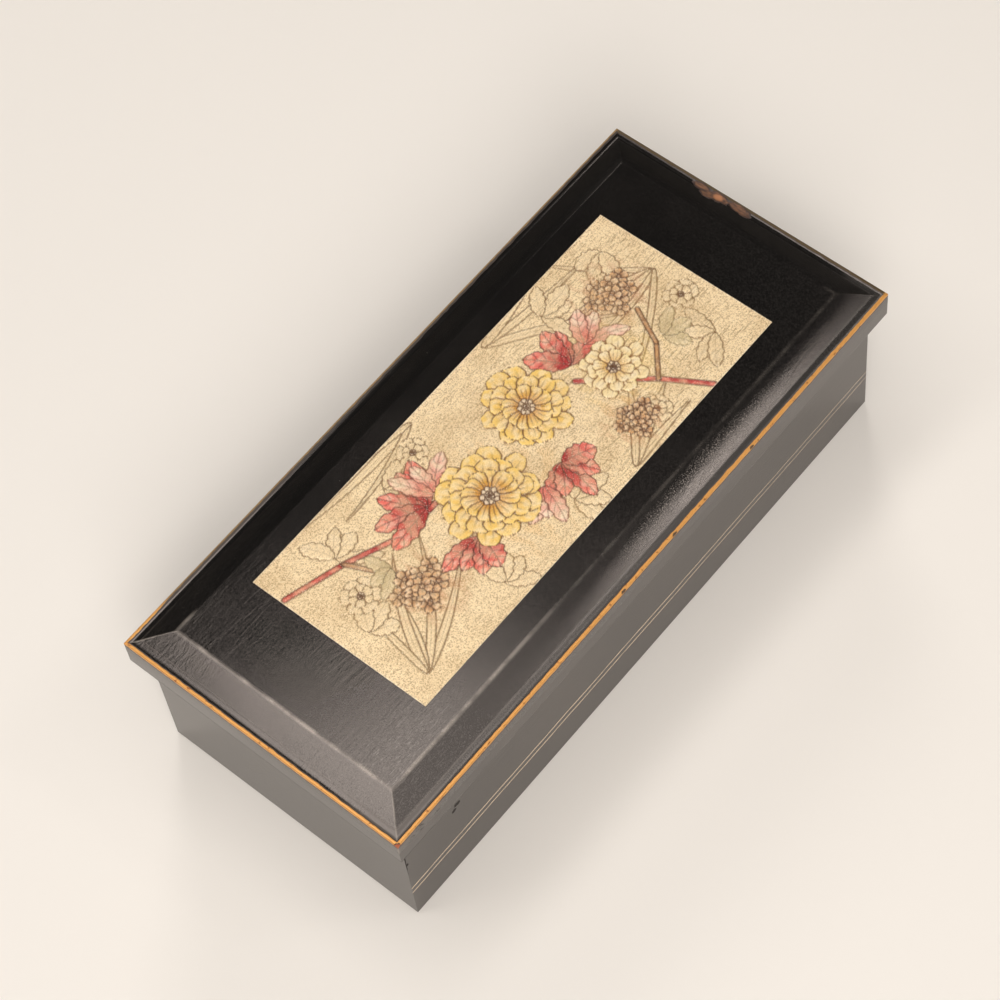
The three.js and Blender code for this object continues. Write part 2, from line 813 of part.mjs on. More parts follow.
piece('movement_bedplate', cut(
  joined([
    block([plateLeft, plateRight], [plateFront, plateBack], [plateZ, plateTop]),
    block([combBackX, combHeelX], [drumFront, drumBack], [plateTop - cutGap, combBedTop]),
    bearing(barrelX, axisZ, [bearingNear, bearingNear + bearingThickness], bearingWidth),
    bearing(barrelX, axisZ, [frontBearing, frontBearingBack], bearingWidth),
    bearing(governorX, governorZ, governorBackPlate, governorPlateWidth),
    bearing(governorX, governorZ, governorFrontPlate, governorPlateWidth),
    block(
      [leverPostX, leverPostX + leverPostThickness],
      [leverPivotY - bearingWidth / 2, leverPivotY + bearingWidth / 2],
      [plateTop - cutGap, leverPivotZ + leverHeight],
    ),
  ]),
  [
    rodY(axisHole, [frontBearing - cutGap, bearingNear + bearingThickness + cutGap], barrelX, axisZ),
    rodY(
      governorArborRadius + runningGap,
      [governorFrontPlate[0] - cutGap, governorBackPlate[1] + cutGap],
      governorX,
      governorZ,
      screwSides,
    ),
    rod(windingArborRadius + runningGap, [plateZ - cutGap, plateTop + cutGap], barrelX, barrelY),
    rod(
      fanShaftRadius + runningGap,
      [plateTop - fanShaftFoot - cutGap, plateTop + cutGap],
      fanX,
      fanY,
      screwSides,
    ),
    rodX(
      leverPinRadius + runningGap,
      [leverPostX - cutGap, leverPostX + leverPostThickness + cutGap],
      leverPivotY,
      leverPivotZ,
      screwSides,
    ),
    ...screwPlaces.map(([x, y]) => rod(
      movementScrewRadius + runningGap,
      [plateZ - cutGap, plateTop + cutGap],
      x,
      y,
      screwSides,
    )),
    ...[-1, 1].map((side) => rod(
      combScrewRadius + runningGap,
      [combBedTop - combScrewLength, combBedTop + cutGap],
      (combBackX + combHeelX) / 2,
      combY + side * combScrewSpacing / 2,
      screwSides,
    )),
  ],
), zinc);

for (const [i, [x, y]] of screwPlaces.entries()) {
  piece(`movement_screw_${i + 1}`, joined([
    rod(
      movementScrewHeadRadius,
      [baseRecess - glueGap - movementScrewHeadHeight, baseRecess - glueGap],
      x,
      y,
    ),
    rod(movementScrewRadius, [baseRecess - 2 * glueGap, plateTop], x, y, screwSides),
  ]), steel);
}

// Comb: a steel plate slit into teeth that reach to the cylinder

const combOutline = [[combBackX, drumBack], [combBackX, drumFront]];
const toothPitch = drumLength / combTeeth;
for (let i = 0; i < combTeeth; i += 1) {
  const low = drumFront + i * toothPitch + combSlit / 2;
  const high = drumFront + (i + 1) * toothPitch - combSlit / 2;
  if (i > 0) combOutline.push([combHeelX, low]);
  if (i === 0) combOutline.push([combHeelX, drumFront], [combHeelX, low]);
  combOutline.push([combTipX, low], [combTipX, high], [combHeelX, high]);
}
combOutline.push([combHeelX, drumBack]);
const combScrewX = (combBackX + combHeelX) / 2;
piece('comb', cut(
  plate(combOutline, [combBedTop + glueGap, combTop]),
  [-1, 1].map((side) => rod(
    combScrewRadius + runningGap,
    [combBedTop - cutGap, combTop + cutGap],
    combScrewX,
    combY + side * combScrewSpacing / 2,
    screwSides,
  )),
), steel);
for (const [side, number] of [[-1, 1], [1, 2]]) {
  const y = combY + side * combScrewSpacing / 2;
  const headBottom = combTop + glueGap;
  piece(`comb_screw_${number}`, joined([
    rod(combScrewHeadRadius, [headBottom, headBottom + combScrewHeadHeight], combScrewX, y),
    rod(
      combScrewRadius,
      [combBedTop - combScrewLength + cutGap, headBottom + cutGap],
      combScrewX,
      y,
      screwSides,
    ),
  ]), steel);
}

// Spring barrel: an open cup with the mainspring inside, closed by the crown wheel

const arborHole = windingArborRadius + runningGap;
piece('spring_barrel', cut(
  rod(barrelRadius, [barrelBottom, barrelBottom + barrelHeight], barrelX, barrelY, wheelSides),
  [
    rod(
      barrelRadius - barrelWall,
      [barrelBottom + barrelWall, barrelBottom + barrelHeight + cutGap],
      barrelX,
      barrelY,
      wheelSides,
    ),
    rod(arborHole, [barrelBottom - cutGap, barrelBottom + 2 * barrelWall], barrelX, barrelY),
  ],
), steel);

const springInner = windingArborRadius + 2 * cutGap;
const springOuter = barrelRadius - barrelWall - cutGap - mainspringThickness;
const stepsPerTurn = 14;
const springSteps = mainspringTurns * stepsPerTurn;
const springSides = [mainspringThickness, 0].map((offset) => (
  Array.from({ length: springSteps + 1 }, (_, i) => {
    const share = i / springSteps;
    const radius = springInner + (springOuter - springInner) * share + offset;
    const angle = share * mainspringTurns * 2 * Math.PI;
    return [radius * Math.cos(angle), radius * Math.sin(angle)];
  })
));
piece('mainspring', plate(
  [...springSides[0], ...springSides[1].reverse()],
  [barrelBottom + barrelWall + cutGap, barrelBottom + barrelHeight - cutGap],
).translate(barrelX, barrelY, 0), steel);

const crownParts = [rod(crownRadius, [discBottom, discTop], 0, 0, wheelSides)];
for (let i = 0; i < crownTeeth; i += 1) {
  const tooth = block(
    [crownRadius - crownBandWidth, crownRadius - glueGap],
    [-crownToothWidth / 2, crownToothWidth / 2],
    [discTop - crownToothSink, discTop + crownToothHeight],
  );
  crownParts.push(tooth.rotateZ(-Math.PI / 2 + i * 2 * Math.PI / crownTeeth));
}
piece('crown_wheel', cut(
  joined(crownParts),
  [rod(arborHole, [discBottom - cutGap, discTop + cutGap], 0, 0)],
), brass, barrelX, barrelY, 0);

piece('winding_arbor', rod(
  windingArborRadius,
  [keyTableClearance + cutGap, discTop + windingArborTop],
  barrelX,
  barrelY,
), steel);

// Butterfly key on the arbor, in the recess under the base

const keyTop = baseRecess - cutGap;
const keyBottom = keyTableClearance;
const keyMiddle = keyBottom + keyHeight / 2;
const keyWing = [];
const wingSteps = 14;
for (let i = 0; i < 2 * wingSteps; i += 1) {
  const angle = (i / wingSteps) * Math.PI;
  const lobe = keyWaist + (1 - keyWaist) * Math.abs(Math.cos(angle));
  keyWing.push([
    (keySpan / 2) * Math.cos(angle),
    keyMiddle + (keyHeight / 2) * lobe * Math.sin(angle),
  ]);
}
piece('winding_key', cut(
  joined([
    plateFacingY(keyWing, [-keyThickness / 2, keyThickness / 2]),
    rod(keyHubRadius, [keyBottom, keyTop], 0, 0),
  ]),
  [rod(arborHole, [keyBottom - cutGap, keyTop + cutGap], 0, 0)],
), brass, barrelX, barrelY, 0);

// Cylinder, on an arbor that carries the pinion and the driving gear

const cylinderArbor = [frontBearing - cutGap, pinionFar + cutGap];
piece('cylinder', cut(
  rodY(drumRadius, [drumFront, drumBack], barrelX, axisZ, wheelSides),
  [rodY(axisHole, [drumFront - cutGap, drumBack + cutGap], barrelX, axisZ)],
), brass);
piece('cylinder_arbor', rodY(arborRadius, cylinderArbor, barrelX, axisZ), steel);
const pinionPhase = Math.PI / 2 + Math.PI / pinionTeeth;
piece('cylinder_pinion', cut(
  wheelY(
    gearOutline(pinionTeeth, pinionPitchRadius, pinionAddendum, pinionDedendum, -pinionPhase),
    [pinionNear, pinionFar],
    barrelX,
    axisZ,
  ),
  [rodY(axisHole, [pinionNear - cutGap, pinionFar + cutGap], barrelX, axisZ)],
), whiteNylon);
piece('cylinder_gear', cut(
  wheelY(
    gearOutline(cylinderGearTeeth, gearRadius, fineAddendum, fineDedendum, -dropAngle),
    [gearFront, gearBack],
    barrelX,
    axisZ,
  ),
  [rodY(axisHole, [gearFront - cutGap, gearBack + cutGap], barrelX, axisZ)],
), brass);

// Governor: wheel and pinion on one arbor, then the fan on its worm

const governorPhase = Math.PI - dropAngle + Math.PI / governorPinionTeeth;
piece('governor_wheel', joined([
  wheelY(
    gearOutline(governorPinionTeeth, governorPinionRadius, fineAddendum, fineDedendum, governorPhase),
    [gearFront, gearBack],
    governorX,
    governorZ,
  ),
  rodY(
    governorArborRadius,
    [governorFrontPlate[0], governorBackPlate[1]],
    governorX,
    governorZ,
    screwSides,
  ),
  wheelY(
    gearOutline(wormWheelTeeth, wormWheelRadius, fineAddendum, fineDedendum, 0),
    [wormWheelFront, wormWheelBack],
    governorX,
    governorZ,
  ),
]), brass);

const wormBottom = governorZ - wormTurns * wormPitch / 2;
const fanShaftBottom = plateTop - fanShaftFoot;
const fanShaftTop = fanTop + bearingSpace + fanBracketThickness;
const wormProfile = [
  [0, fanShaftBottom],
  [fanShaftRadius, fanShaftBottom],
  [fanShaftRadius, wormBottom],
];
for (let i = 0; i < wormTurns; i += 1) {
  wormProfile.push(
    [wormRadius - wormDepth, wormBottom + (i + 1 / 4) * wormPitch],
    [wormRadius, wormBottom + (i + 1 / 2) * wormPitch],
  );
}
wormProfile.push(
  [fanShaftRadius, wormBottom + wormTurns * wormPitch],
  [fanShaftRadius, fanShaftTop],
  [0, fanShaftTop],
);
piece('governor_worm', new THREE.LatheGeometry(
  wormProfile.map(([radius, z]) => new THREE.Vector2(radius, z)),
  screwSides,
).rotateX(Math.PI / 2), steel, fanX, fanY, 0);

piece('governor_fan', cut(
  joined([
    block([-fanRadius, fanRadius], [-fanBladeThickness / 2, fanBladeThickness / 2], [fanBottom, fanTop]),
    rod(fanHubRadius, [fanBottom, fanTop], 0, 0, screwSides),
  ]),
  [rod(fanShaftRadius + runningGap, [fanBottom - cutGap, fanTop + cutGap], 0, 0, screwSides)],
), zinc, fanX, fanY, 0);

// Steel strap over the fan with its upper bearing
const strapOuter = plateFront + fanBracketThickness;
const strapTop = fanTop + closeSpace + fanBracketThickness;
const strapX = [fanX - fanBracketWidth / 2, fanX + fanBracketWidth / 2];
piece('governor_bracket', cut(
  joined([
    block(strapX, [plateFront, strapOuter], [plateTop + glueGap, strapTop]),
    block(strapX, [plateFront, fanY + fanBracketWidth / 2], [strapTop - fanBracketThickness, strapTop]),
  ]),
  [rod(fanShaftRadius + runningGap, [fanTop, strapTop + cutGap], fanX, fanY, screwSides)],
), steel);

// Stop lever on its pin: one arm beside the fan, one upright through the cover to the lid

const leverTip = mirrorFrameBottom - cutGap;
const leverSpan = [fanY + fanRadius + leverFromFan, leverPivotY + 2 * leverHeight];
piece('stop_lever', cut(
  joined([
    block(
      [leverX, leverX + leverThickness],
      leverSpan,
      [leverPivotZ - leverHeight / 2, leverPivotZ + leverHeight / 2],
    ),
    block(
      [leverX, leverX + leverThickness],
      [leverUprightY - leverUprightWidth / 2, leverUprightY + leverUprightWidth / 2],
      [leverPivotZ, leverTip],
    ),
    rodX(leverHeight, [leverX, leverX + leverThickness], leverPivotY, leverPivotZ),
  ]),
  [rodX(
    leverPinRadius + runningGap,
    [leverX - cutGap, leverX + leverThickness + cutGap],
    leverPivotY,
    leverPivotZ,
    screwSides,
  )],
), steel);
piece('stop_lever_pin', rodX(
  leverPinRadius,
  [leverX - leverThickness / 2, leverPostX + leverPostThickness],
  leverPivotY,
  leverPivotZ,
  screwSides,
), steel);

// Clear cover on the divider and on one ledge, with a slot for the lever and a finger notch

const coverX = [dividerLeft, innerX - glueGap];
const coverEdge = innerY - glueGap;
piece('cover_ledge', block(
  [innerX - glueGap - ledgeDepth, innerX - glueGap],
  [innerY - ledgeFromBack - ledgeLength, innerY - ledgeFromBack],
  [coverBottom - glueGap - ledgeHeight, coverBottom - glueGap],
), blackBoard);
const leverSlotReach = leverUprightWidth / 2 + leverSlotRoom;
const throughCover = [coverBottom - cutGap, coverTop + cutGap];
piece('movement_cover', cut(
  block(coverX, [-coverEdge, coverEdge], [coverBottom, coverTop]),
  [
    block(
      [leverX - leverSlotSide, leverX + leverThickness + leverSlotSide],
      [leverUprightY - leverSlotReach, leverUprightY + leverSlotReach],
      throughCover,
    ),
    rod(
      coverNotchRadius,
      throughCover,
      coverX[0] + coverNotchFromDivider,
      coverEdge,
      knuckleSides,
    ),
  ],
), clear);

export default box;
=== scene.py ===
import random
from collections import namedtuple
from math import cos, pi, radians, sin

import bmesh
import bpy
import numpy as np
from mathutils import Matrix, Vector, noise


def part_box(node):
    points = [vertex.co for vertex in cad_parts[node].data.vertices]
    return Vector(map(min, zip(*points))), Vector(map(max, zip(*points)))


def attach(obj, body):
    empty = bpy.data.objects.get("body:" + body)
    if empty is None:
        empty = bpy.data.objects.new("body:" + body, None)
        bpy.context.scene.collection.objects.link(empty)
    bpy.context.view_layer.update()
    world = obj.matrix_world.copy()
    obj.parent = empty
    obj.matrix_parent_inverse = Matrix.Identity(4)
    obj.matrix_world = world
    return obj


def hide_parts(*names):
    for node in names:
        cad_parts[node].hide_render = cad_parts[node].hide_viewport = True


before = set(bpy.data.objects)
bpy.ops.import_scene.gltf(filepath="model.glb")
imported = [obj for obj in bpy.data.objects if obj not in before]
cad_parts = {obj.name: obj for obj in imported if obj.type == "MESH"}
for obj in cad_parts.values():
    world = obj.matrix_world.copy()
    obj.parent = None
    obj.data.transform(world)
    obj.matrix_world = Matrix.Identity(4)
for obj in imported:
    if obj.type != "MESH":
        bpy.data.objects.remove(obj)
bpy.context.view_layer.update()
mm = 0.001
bpy.context.scene.view_settings.view_transform = "Standard"


# Camera

def place_camera():
    """Stands where the photograph was taken: above the near left corner, slightly rolled."""
    turn, lift, roll = radians(-42.6749), radians(59.6006), radians(-8.9152)
    target, distance = Vector((-9.8463, -3.6691, 50.6)) * mm, 759.5348 * mm
    back = Vector((sin(turn) * cos(lift), -cos(turn) * cos(lift), sin(lift)))
    across = Vector((0, 0, 1)).cross(back).normalized()
    upward = back.cross(across)
    rolled_across = cos(roll) * across + sin(roll) * upward
    rolled_upward = cos(roll) * upward - sin(roll) * across
    lens = bpy.data.cameras.new("camera")
    lens.sensor_width, lens.lens = 36, 112.185
    lens.clip_start, lens.clip_end = 0.02, 20
    camera = bpy.data.objects.new("camera", lens)
    bpy.context.scene.collection.objects.link(camera)
    camera.matrix_world = Matrix.Translation(target + back * distance) @ Matrix(
        (rolled_across, rolled_upward, back)).transposed().to_4x4()
    bpy.context.scene.camera = camera


place_camera()


# Finishes

def linear(colour):
    """Turns a screen colour, 0 to 255, into the light that it stands for."""
    return tuple(c / 255 / 12.92 if c < 10.3 else ((c / 255 + 0.055) / 1.055) ** 2.4
                 for c in colour) + (1,)


class Finish:
    """One surface finish: a material, its shader and short ways to add patterns to it."""

    def __init__(self, name, colour, roughness, **sockets):
        self.material = bpy.data.materials.new(name)
        self.material.use_nodes = True
        self.tree = self.material.node_tree
        self.shader = self.tree.nodes["Principled BSDF"]
        self.place = self.relief = self.metal = None
        self.coat(colour, roughness)
        for socket, value in sockets.items():
            self.set(socket.replace("_", " "), value)

    def set(self, socket, value):
        self.feed(self.shader.inputs[socket], value)

    def coat(self, colour, rough):
        self.colour, self.rough = colour, rough
        self.set("Base Color", colour)
        self.set("Roughness", rough)

    def feed(self, socket, value):
        if isinstance(value, bpy.types.NodeSocket):
            self.tree.links.new(value, socket)
        elif isinstance(value, tuple) and len(value) == 3 and socket.type == "RGBA":
            socket.default_value = linear(value)
        elif value is not None:
            socket.default_value = value

    def add(self, kind, *inputs, **settings):
        made = self.tree.nodes.new("ShaderNode" + kind)
        for setting, value in settings.items():
            setattr(made, setting, value)
        for socket, value in zip(made.inputs, inputs):
            self.feed(socket, value)
        return made

    def spot(self, stretch=None, turn=(0, 0, 0)):
        """The place on the object, in metres, stretched or turned for a pattern's run."""
        if self.place is None:
            self.place = self.add("TexCoord").outputs["Object"]
        if stretch is None:
            return self.place
        return self.add("Mapping", self.place, None, turn, stretch).outputs[0]

    def axes(self):
        """The place split into x, y and z, in millimetres."""
        split = self.add("SeparateXYZ", self.spot())
        return [self.times(axis, 1 / mm) for axis in split.outputs]

    def grain(self, size, detail=2.0, where=None, distortion=0.0):
        """Soft noise between 0 and 1 whose blots are about size millimetres wide."""
        made = self.add("TexNoise", where or self.spot())
        made.inputs["Scale"].default_value = 1 / (size * mm)
        made.inputs["Detail"].default_value = detail
        made.inputs["Distortion"].default_value = distortion
        return made.outputs[0]

    def dots(self, spacing):
        """Distance, in spacings, from points scattered a spacing apart."""
        made = self.add("TexVoronoi", self.spot())
        made.inputs["Scale"].default_value = 1 / (spacing * mm)
        return made.outputs["Distance"]

    def calc(self, operation, *values):
        return self.add("Math", *values, operation=operation).outputs[0]

    def times(self, first, *others):
        for other in others:
            first = self.calc("MULTIPLY", first, other)
        return first

    def most(self, first, *others):
        for other in others:
            first = self.calc("MAXIMUM", first, other)
        return first

    def plus(self, first, second):
        return self.calc("ADD", first, second)

    def minus(self, first, second):
        return self.calc("SUBTRACT", first, second)

    def gap(self, first, second):
        """How far two values lie apart."""
        return self.calc("ABSOLUTE", self.minus(first, second))

    def step(self, value, low, high, start=0.0, end=1.0):
        """Rises softly from start at low to end at high."""
        return self.add("MapRange", value, low, high, start, end,
                        interpolation_type="SMOOTHSTEP").outputs[0]

    def mix(self, share, first, second):
        made = self.add("Mix", data_type="RGBA")
        self.feed(made.inputs[0], share)
        self.feed(made.inputs[6], first)
        self.feed(made.inputs[7], second)
        return made.outputs[2]

    def blot(self, middle, reach, ragged=0.5, size=1.0):
        """Falls from 1 at middle to 0 about reach away, all in millimetres, raggedly."""
        shift = [-m / r for m, r in zip(middle, reach)]
        moved = self.add("Mapping", self.spot(), shift, None, [1 / (r * mm) for r in reach])
        away = self.add("VectorMath", moved.outputs[0], operation="LENGTH").outputs["Value"]
        uneven = self.calc("MULTIPLY_ADD", self.grain(size, 3), ragged, 1 - ragged / 2)
        return self.minus(uneven, away)

    def attribute(self, name, part="Fac"):
        return self.add("Attribute", attribute_name=name).outputs[part]

    def bump(self, height, depth, strength=1.0):
        """Adds relief of about depth millimetres where height goes from 0 to 1."""
        made = self.add("Bump")
        made.inputs["Strength"].default_value = strength
        made.inputs["Distance"].default_value = depth * mm
        self.feed(made.inputs["Height"], height)
        self.feed(made.inputs["Normal"], self.relief)
        self.relief = made.outputs[0]
        self.set("Normal", self.relief)

    def paint(self, share, colour, rough, metal=None):
        """Lays a painted or worn place over the finish, where share is 1."""
        rough = self.plus(self.times(self.rough, self.minus(1.0, share)), self.times(share, rough))
        self.coat(self.mix(share, self.colour, colour), rough)
        if metal:
            self.metal = self.times(share, metal)
            self.set("Metallic", self.metal)


# Sizes in millimetres, the lid's, the case's and the panel's read from the frame

def box_of(node):
    """A node's lowest and highest corners, in millimetres."""
    return [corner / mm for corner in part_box(node)]


def size_of(node):
    """A node's length, width and height, in millimetres."""
    low, high = box_of(node)
    return high - low


lid_low, lid_high = box_of("lid_board")
wall_low, wall_high = box_of("case_front_wall")
panel_low, panel_high = box_of("picture_panel")
lid_half = Vector((lid_high.x, lid_high.y))
wall_half = Vector((wall_high.x, -wall_low.y))
moulding_rise, foot_rise, cove_dip = 2.8, 0.22, 0.15
rim_height = lid_high.z - moulding_rise
rim_flat, cove_edge, moulding_inset = 0.7, 2.9, 9.4
rim_roll, slope_swell = 0.3, 0.22
stripe_heights = (12.7, 15.1)
stripe_width = 0.5

# Wear, in millimetres: the middle and the reach of each bare chip on the far end's rim, the
# nicks along the front's gold line, and the dark marks on the front wall (middle and reach)
chips = (((93.0, 8.6), (1.7, 3.4)), ((93.3, 14.2), (1.2, 3.0)), ((92.2, 11.4), (1.6, 2.6)),
         ((93.4, 2.4), (1.2, 3.6)), ((92.8, 0.2), (1.1, 2.0)))
nicks = (-11.4, 8.4, 39.0)
wall_marks = (((-72.5, 30.8), (1.2, 0.9)), ((-73.8, 29.2), (1.0, 0.8)), ((-91.4, 28.6), (0.7, 0.8)),
              ((-91.6, 33), (0.3, 9)), ((-86, 36.5), (2.6, 0.35)))


def lacquer(name, dust_and_sheen=True):
    """Black lacquer over wood: satin and fine-grained, with specks and wiping marks. On the sides
    its base is a lighter grey haze, dust with painted sheen for the light that the sides catch."""
    skin = Finish(name, (12, 11, 11), 0.2, IOR=1.8, Specular_Tint=(255, 245, 240))
    cloud = skin.grain(26, 3)
    fine = skin.grain(0.28, 4)
    haze = skin.step(cloud, 0.35, 0.75)
    # The sides' lighter grey base: dust with painted sheen.
    if dust_and_sheen:
        colour = skin.mix(haze, (42, 38, 34), (54, 49, 44))
    else:
        colour = skin.mix(haze, (6, 6, 6), (13, 12, 11))
    speck = skin.times(skin.step(skin.dots(4.6), 0.014, 0.022, 0.8, 0),
                       skin.step(cloud, 0.45, 0.55))
    skin.coat(skin.mix(speck, colour, (150, 144, 134)),
              skin.plus(skin.step(cloud, 0.2, 0.8, 0.12, 0.16),
                        skin.step(fine, 0.3, 0.75, -0.03, 0.06)))
    skin.bump(skin.grain(34, 1), 0.07)
    wiped = skin.times(skin.grain(1.5, 3, skin.spot((0.14, 1, 1)), 1.2),
                       skin.step(skin.grain(40, 1), 0.45, 0.6))
    skin.bump(wiped, 0.02)
    skin.bump(fine, 0.007)
    return skin


class LidPlaces:
    """Where a point of the lid lies: its axes, how far it is in from each edge, and whether
    it is by the near end or the near side, which are rubbed more and get the painted sheen and
    highlights."""

    def __init__(self, skin):
        self.x, self.y, self.z = skin.axes()
        self.end_inset = skin.minus(lid_half.x, skin.calc("ABSOLUTE", self.x))
        self.side_inset = skin.minus(lid_half.y, skin.calc("ABSOLUTE", self.y))
        self.inset = skin.calc("MINIMUM", self.end_inset, self.side_inset)
        self.near_end = skin.step(self.x, -lid_half.x + 18, -lid_half.x + 10, 0, 1)
        self.near_side = skin.step(self.y, -lid_half.y + 14, -lid_half.y + 10, 0, 1)
        self.near = skin.most(self.near_end, self.near_side)


def paint_sheen_and_wipes(skin, at):
    """Painted sheen as a grey grain by the near corner, wiping strokes, painted sheen in the front
    cove and round the near corner, and painted sparkle, grainy like dust, on the front slope.
    """
    # Painted sheen: a grey grain, strongest by the near corner and the near side.
    painted_sheen_grain = skin.times(skin.step(skin.grain(0.36, 4), 0.44, 0.62),
                         skin.step(at.x, -lid_half.x + 80, -lid_half.x + 4, 0.2, 0.75),
                         skin.step(at.y, -28, 25, 1, 0.25))
    skin.paint(painted_sheen_grain, (66, 64, 63), 0.26)
    stroke = skin.grain(0.42, 3, skin.spot((0.16, 1, 1), (0, 0, 0.35)), 0.6)
    stroke = skin.times(skin.step(stroke, 0.52, 0.68),
                        skin.step(skin.blot((-79, -31, 54), (26, 13, 9), 0.6, 7), 0, 0.7, 0, 0.8),
                        skin.step(at.inset, 8.4, 10, 0.3, 1))
    skin.paint(stroke, (128, 124, 121), 0.32)
    # Painted sheen: the cove along the front, lighter grey.
    painted_cove_sheen = skin.times(skin.step(at.inset, 2.4, 3.6, 0.8, 0), at.near_side,
                         skin.step(at.x, -30, 90, 1, 0.4))
    skin.paint(painted_cove_sheen, (78, 76, 74), 0.3)
    # Painted sparkle: a grainy pale patch along the front slope.
    dust = skin.times(skin.step(skin.grain(0.34, 4), 0.5, 0.66),
                      skin.step(skin.blot((26, -38, 51.5), (42, 3.9, 4), 0.4, 6), 0, 0.6, 0, 0.55))
    skin.paint(dust, (150, 143, 137), 0.36)
    # Painted sheen: the rim and cove by the near corner, lighter grey.
    corner = skin.times(skin.step(skin.blot((-89, -37, 50), (16, 16, 5), 0.5, 5), 0, 0.6, 0, 0.7),
                        skin.step(at.inset, 2.6, 3.4, 1, 0))
    skin.paint(corner, (84, 80, 77), 0.3)


def rub_and_light_edges(skin, at):
    """Rubs the lacquer pale along the slope's top, the cove's edge and the mitres, on the near
    sides: rubbed wear with painted highlight.
    """
    patchy = skin.step(skin.grain(7, 4), 0.34, 0.62, 0.3, 1)
    fading = skin.most(at.near_end,
                       skin.times(at.near_side, skin.step(at.x, -55, -20, 1, 0.12)))
    on_slope = skin.step(at.inset, moulding_inset - 0.5, moulding_inset, 1, 0)
    off_mitre = skin.plus(skin.gap(at.end_inset, at.side_inset), skin.minus(1.0, on_slope))
    for away, width, strength in ((skin.gap(at.inset, moulding_inset), 0.85, 0.8),
                                  (skin.gap(at.inset, cove_edge + 0.1), 0.3, 0.12),
                                  (off_mitre, 0.5, 0.4)):
        # Pale lines on the near sides only: rubbed wear with painted highlight.
        rubbed = skin.times(skin.step(away, 0.05, width, strength, 0), patchy, fading)
        skin.paint(rubbed, (168, 160, 152), 0.34)


def gild_rim(skin, at):
    """The gold line round the rim, outlined darker: bright on the two near sides, thin on the far
    ones, where it is darker, as painted shade with worn paint, and nicked along the front."""
    wobble = skin.step(skin.grain(2.4, 2), 0.2, 0.8, -0.12, 0.12)
    across, height = skin.plus(at.inset, wobble), skin.plus(at.z, wobble)

    def band(width, drop, soft):
        return skin.times(skin.step(skin.minus(across, width), 0, soft, 1, 0),
                          skin.step(height, rim_height - drop - soft, rim_height - drop))

    skin.paint(band(1.02, 1.16, 0.1), (30, 17, 10), 0.5)
    far_end = skin.times(skin.step(at.end_inset, 0.9, 1.4, 1, 0), skin.step(at.x, 0, 1),
                         skin.step(at.side_inset, 0.3, 1.2))
    gold = skin.mix(skin.step(skin.grain(1.3, 4), 0.58, 0.7), (222, 160, 80), (158, 96, 42))
    # Painted shade: the gold is tan on the far sides, and dark olive, with worn paint, on the far
    # end.
    gold = skin.mix(at.near, (150, 120, 74), gold)
    gold = skin.mix(far_end, gold, (78, 62, 32))
    width = skin.calc("MULTIPLY_ADD", skin.most(at.near, far_end), 0.3, 0.46)
    line = skin.times(band(width, 0.74, 0.08), skin.step(skin.grain(6, 5), 0.24, 0.28, 0.3, 1))
    for place in nicks:
        nick = skin.blot((place, -lid_half.y, rim_height - 0.2), (0.9, 0.6, 0.45), 0.9, 0.5)
        line = skin.times(line, skin.step(nick, 0, 0.2, 1, 0.1))
    skin.paint(line, gold, skin.calc("MULTIPLY_ADD", at.near, -0.24, 0.6), 0.35)
    skin.bump(line, 0.05, 0.6)


def chip_rim(skin, at):
    """Chips that bare the brown wood of the far end's rim, and a small one at the near
    corner. Gives how deep each point lies in the far ones."""
    bare = skin.most(*[skin.blot((*middle, rim_height), (*reach, 2.0), 1.1, 1.5)
                       for middle, reach in chips])
    bare = skin.times(bare, skin.step(at.inset, 0.35, 0.6))
    fibre = skin.grain(0.5, 3, skin.spot((1, 0.25, 1)))
    wood = skin.mix(skin.step(fibre, 0.35, 0.68), (64, 38, 25), (122, 82, 52))
    lit = skin.blot((*chips[0][0], rim_height), (1.2, 1.8, 2.0), 0.6)
    wood = skin.mix(skin.step(lit, 0, 0.6), wood, (168, 112, 72))
    broken_edge = skin.step(bare, 0, 0.1)
    skin.paint(broken_edge, (44, 22, 15), 0.6)
    skin.paint(skin.step(bare, 0.14, 0.34), wood, 0.75)
    corner = skin.blot((-lid_half.x, -lid_half.y, rim_height - 0.5), (1.3, 1.3, 0.8), 0.8, 0.6)
    broken_corner = skin.step(corner, 0, 0.1)
    skin.paint(broken_corner, (30, 16, 10), 0.6)
    skin.paint(skin.step(corner, 0.12, 0.3), (176, 84, 40), 0.6)
    painted = skin.minus(1.0, skin.most(broken_edge, broken_corner))
    skin.set("Metallic", skin.times(skin.metal, painted))
    return bare


def crack_corner(skin):
    """Hairline cracks on the lid's side by the near corner. Gives where they are."""
    veins = skin.gap(skin.grain(5, 3, distortion=0.8), 0.5)
    cracked = skin.blot((-88, -lid_half.y, rim_height - 4.5), (9, 3, 4), 0.6, 4)
    crack = skin.times(skin.step(veins, 0.004, 0.014, 0.85, 0), skin.step(cracked, 0, 0.3))
    skin.paint(crack, (14, 12, 11), 0.6)
    return crack


def lid_lacquer():
    """The lid's lacquer, with the gold line on its rim, all of its wear, and its painted sheen and
    highlights.
    """
    skin = lacquer("black lacquer with gold line", dust_and_sheen=False)
    at = LidPlaces(skin)
    on_side = skin.step(at.z, rim_height - 1.4, rim_height - 0.8, 1, 0)
    # The lid's sides below the rim get a lighter grey base: dust with painted sheen, as on the
    # walls.
    skin.colour = skin.mix(on_side, skin.colour, (48, 43, 39))
    paint_sheen_and_wipes(skin, at)
    rub_and_light_edges(skin, at)
    gild_rim(skin, at)
    bare = chip_rim(skin, at)
    crack = crack_corner(skin)
    skin.bump(skin.plus(skin.step(bare, 0, 0.3), crack), -0.16)
    return skin


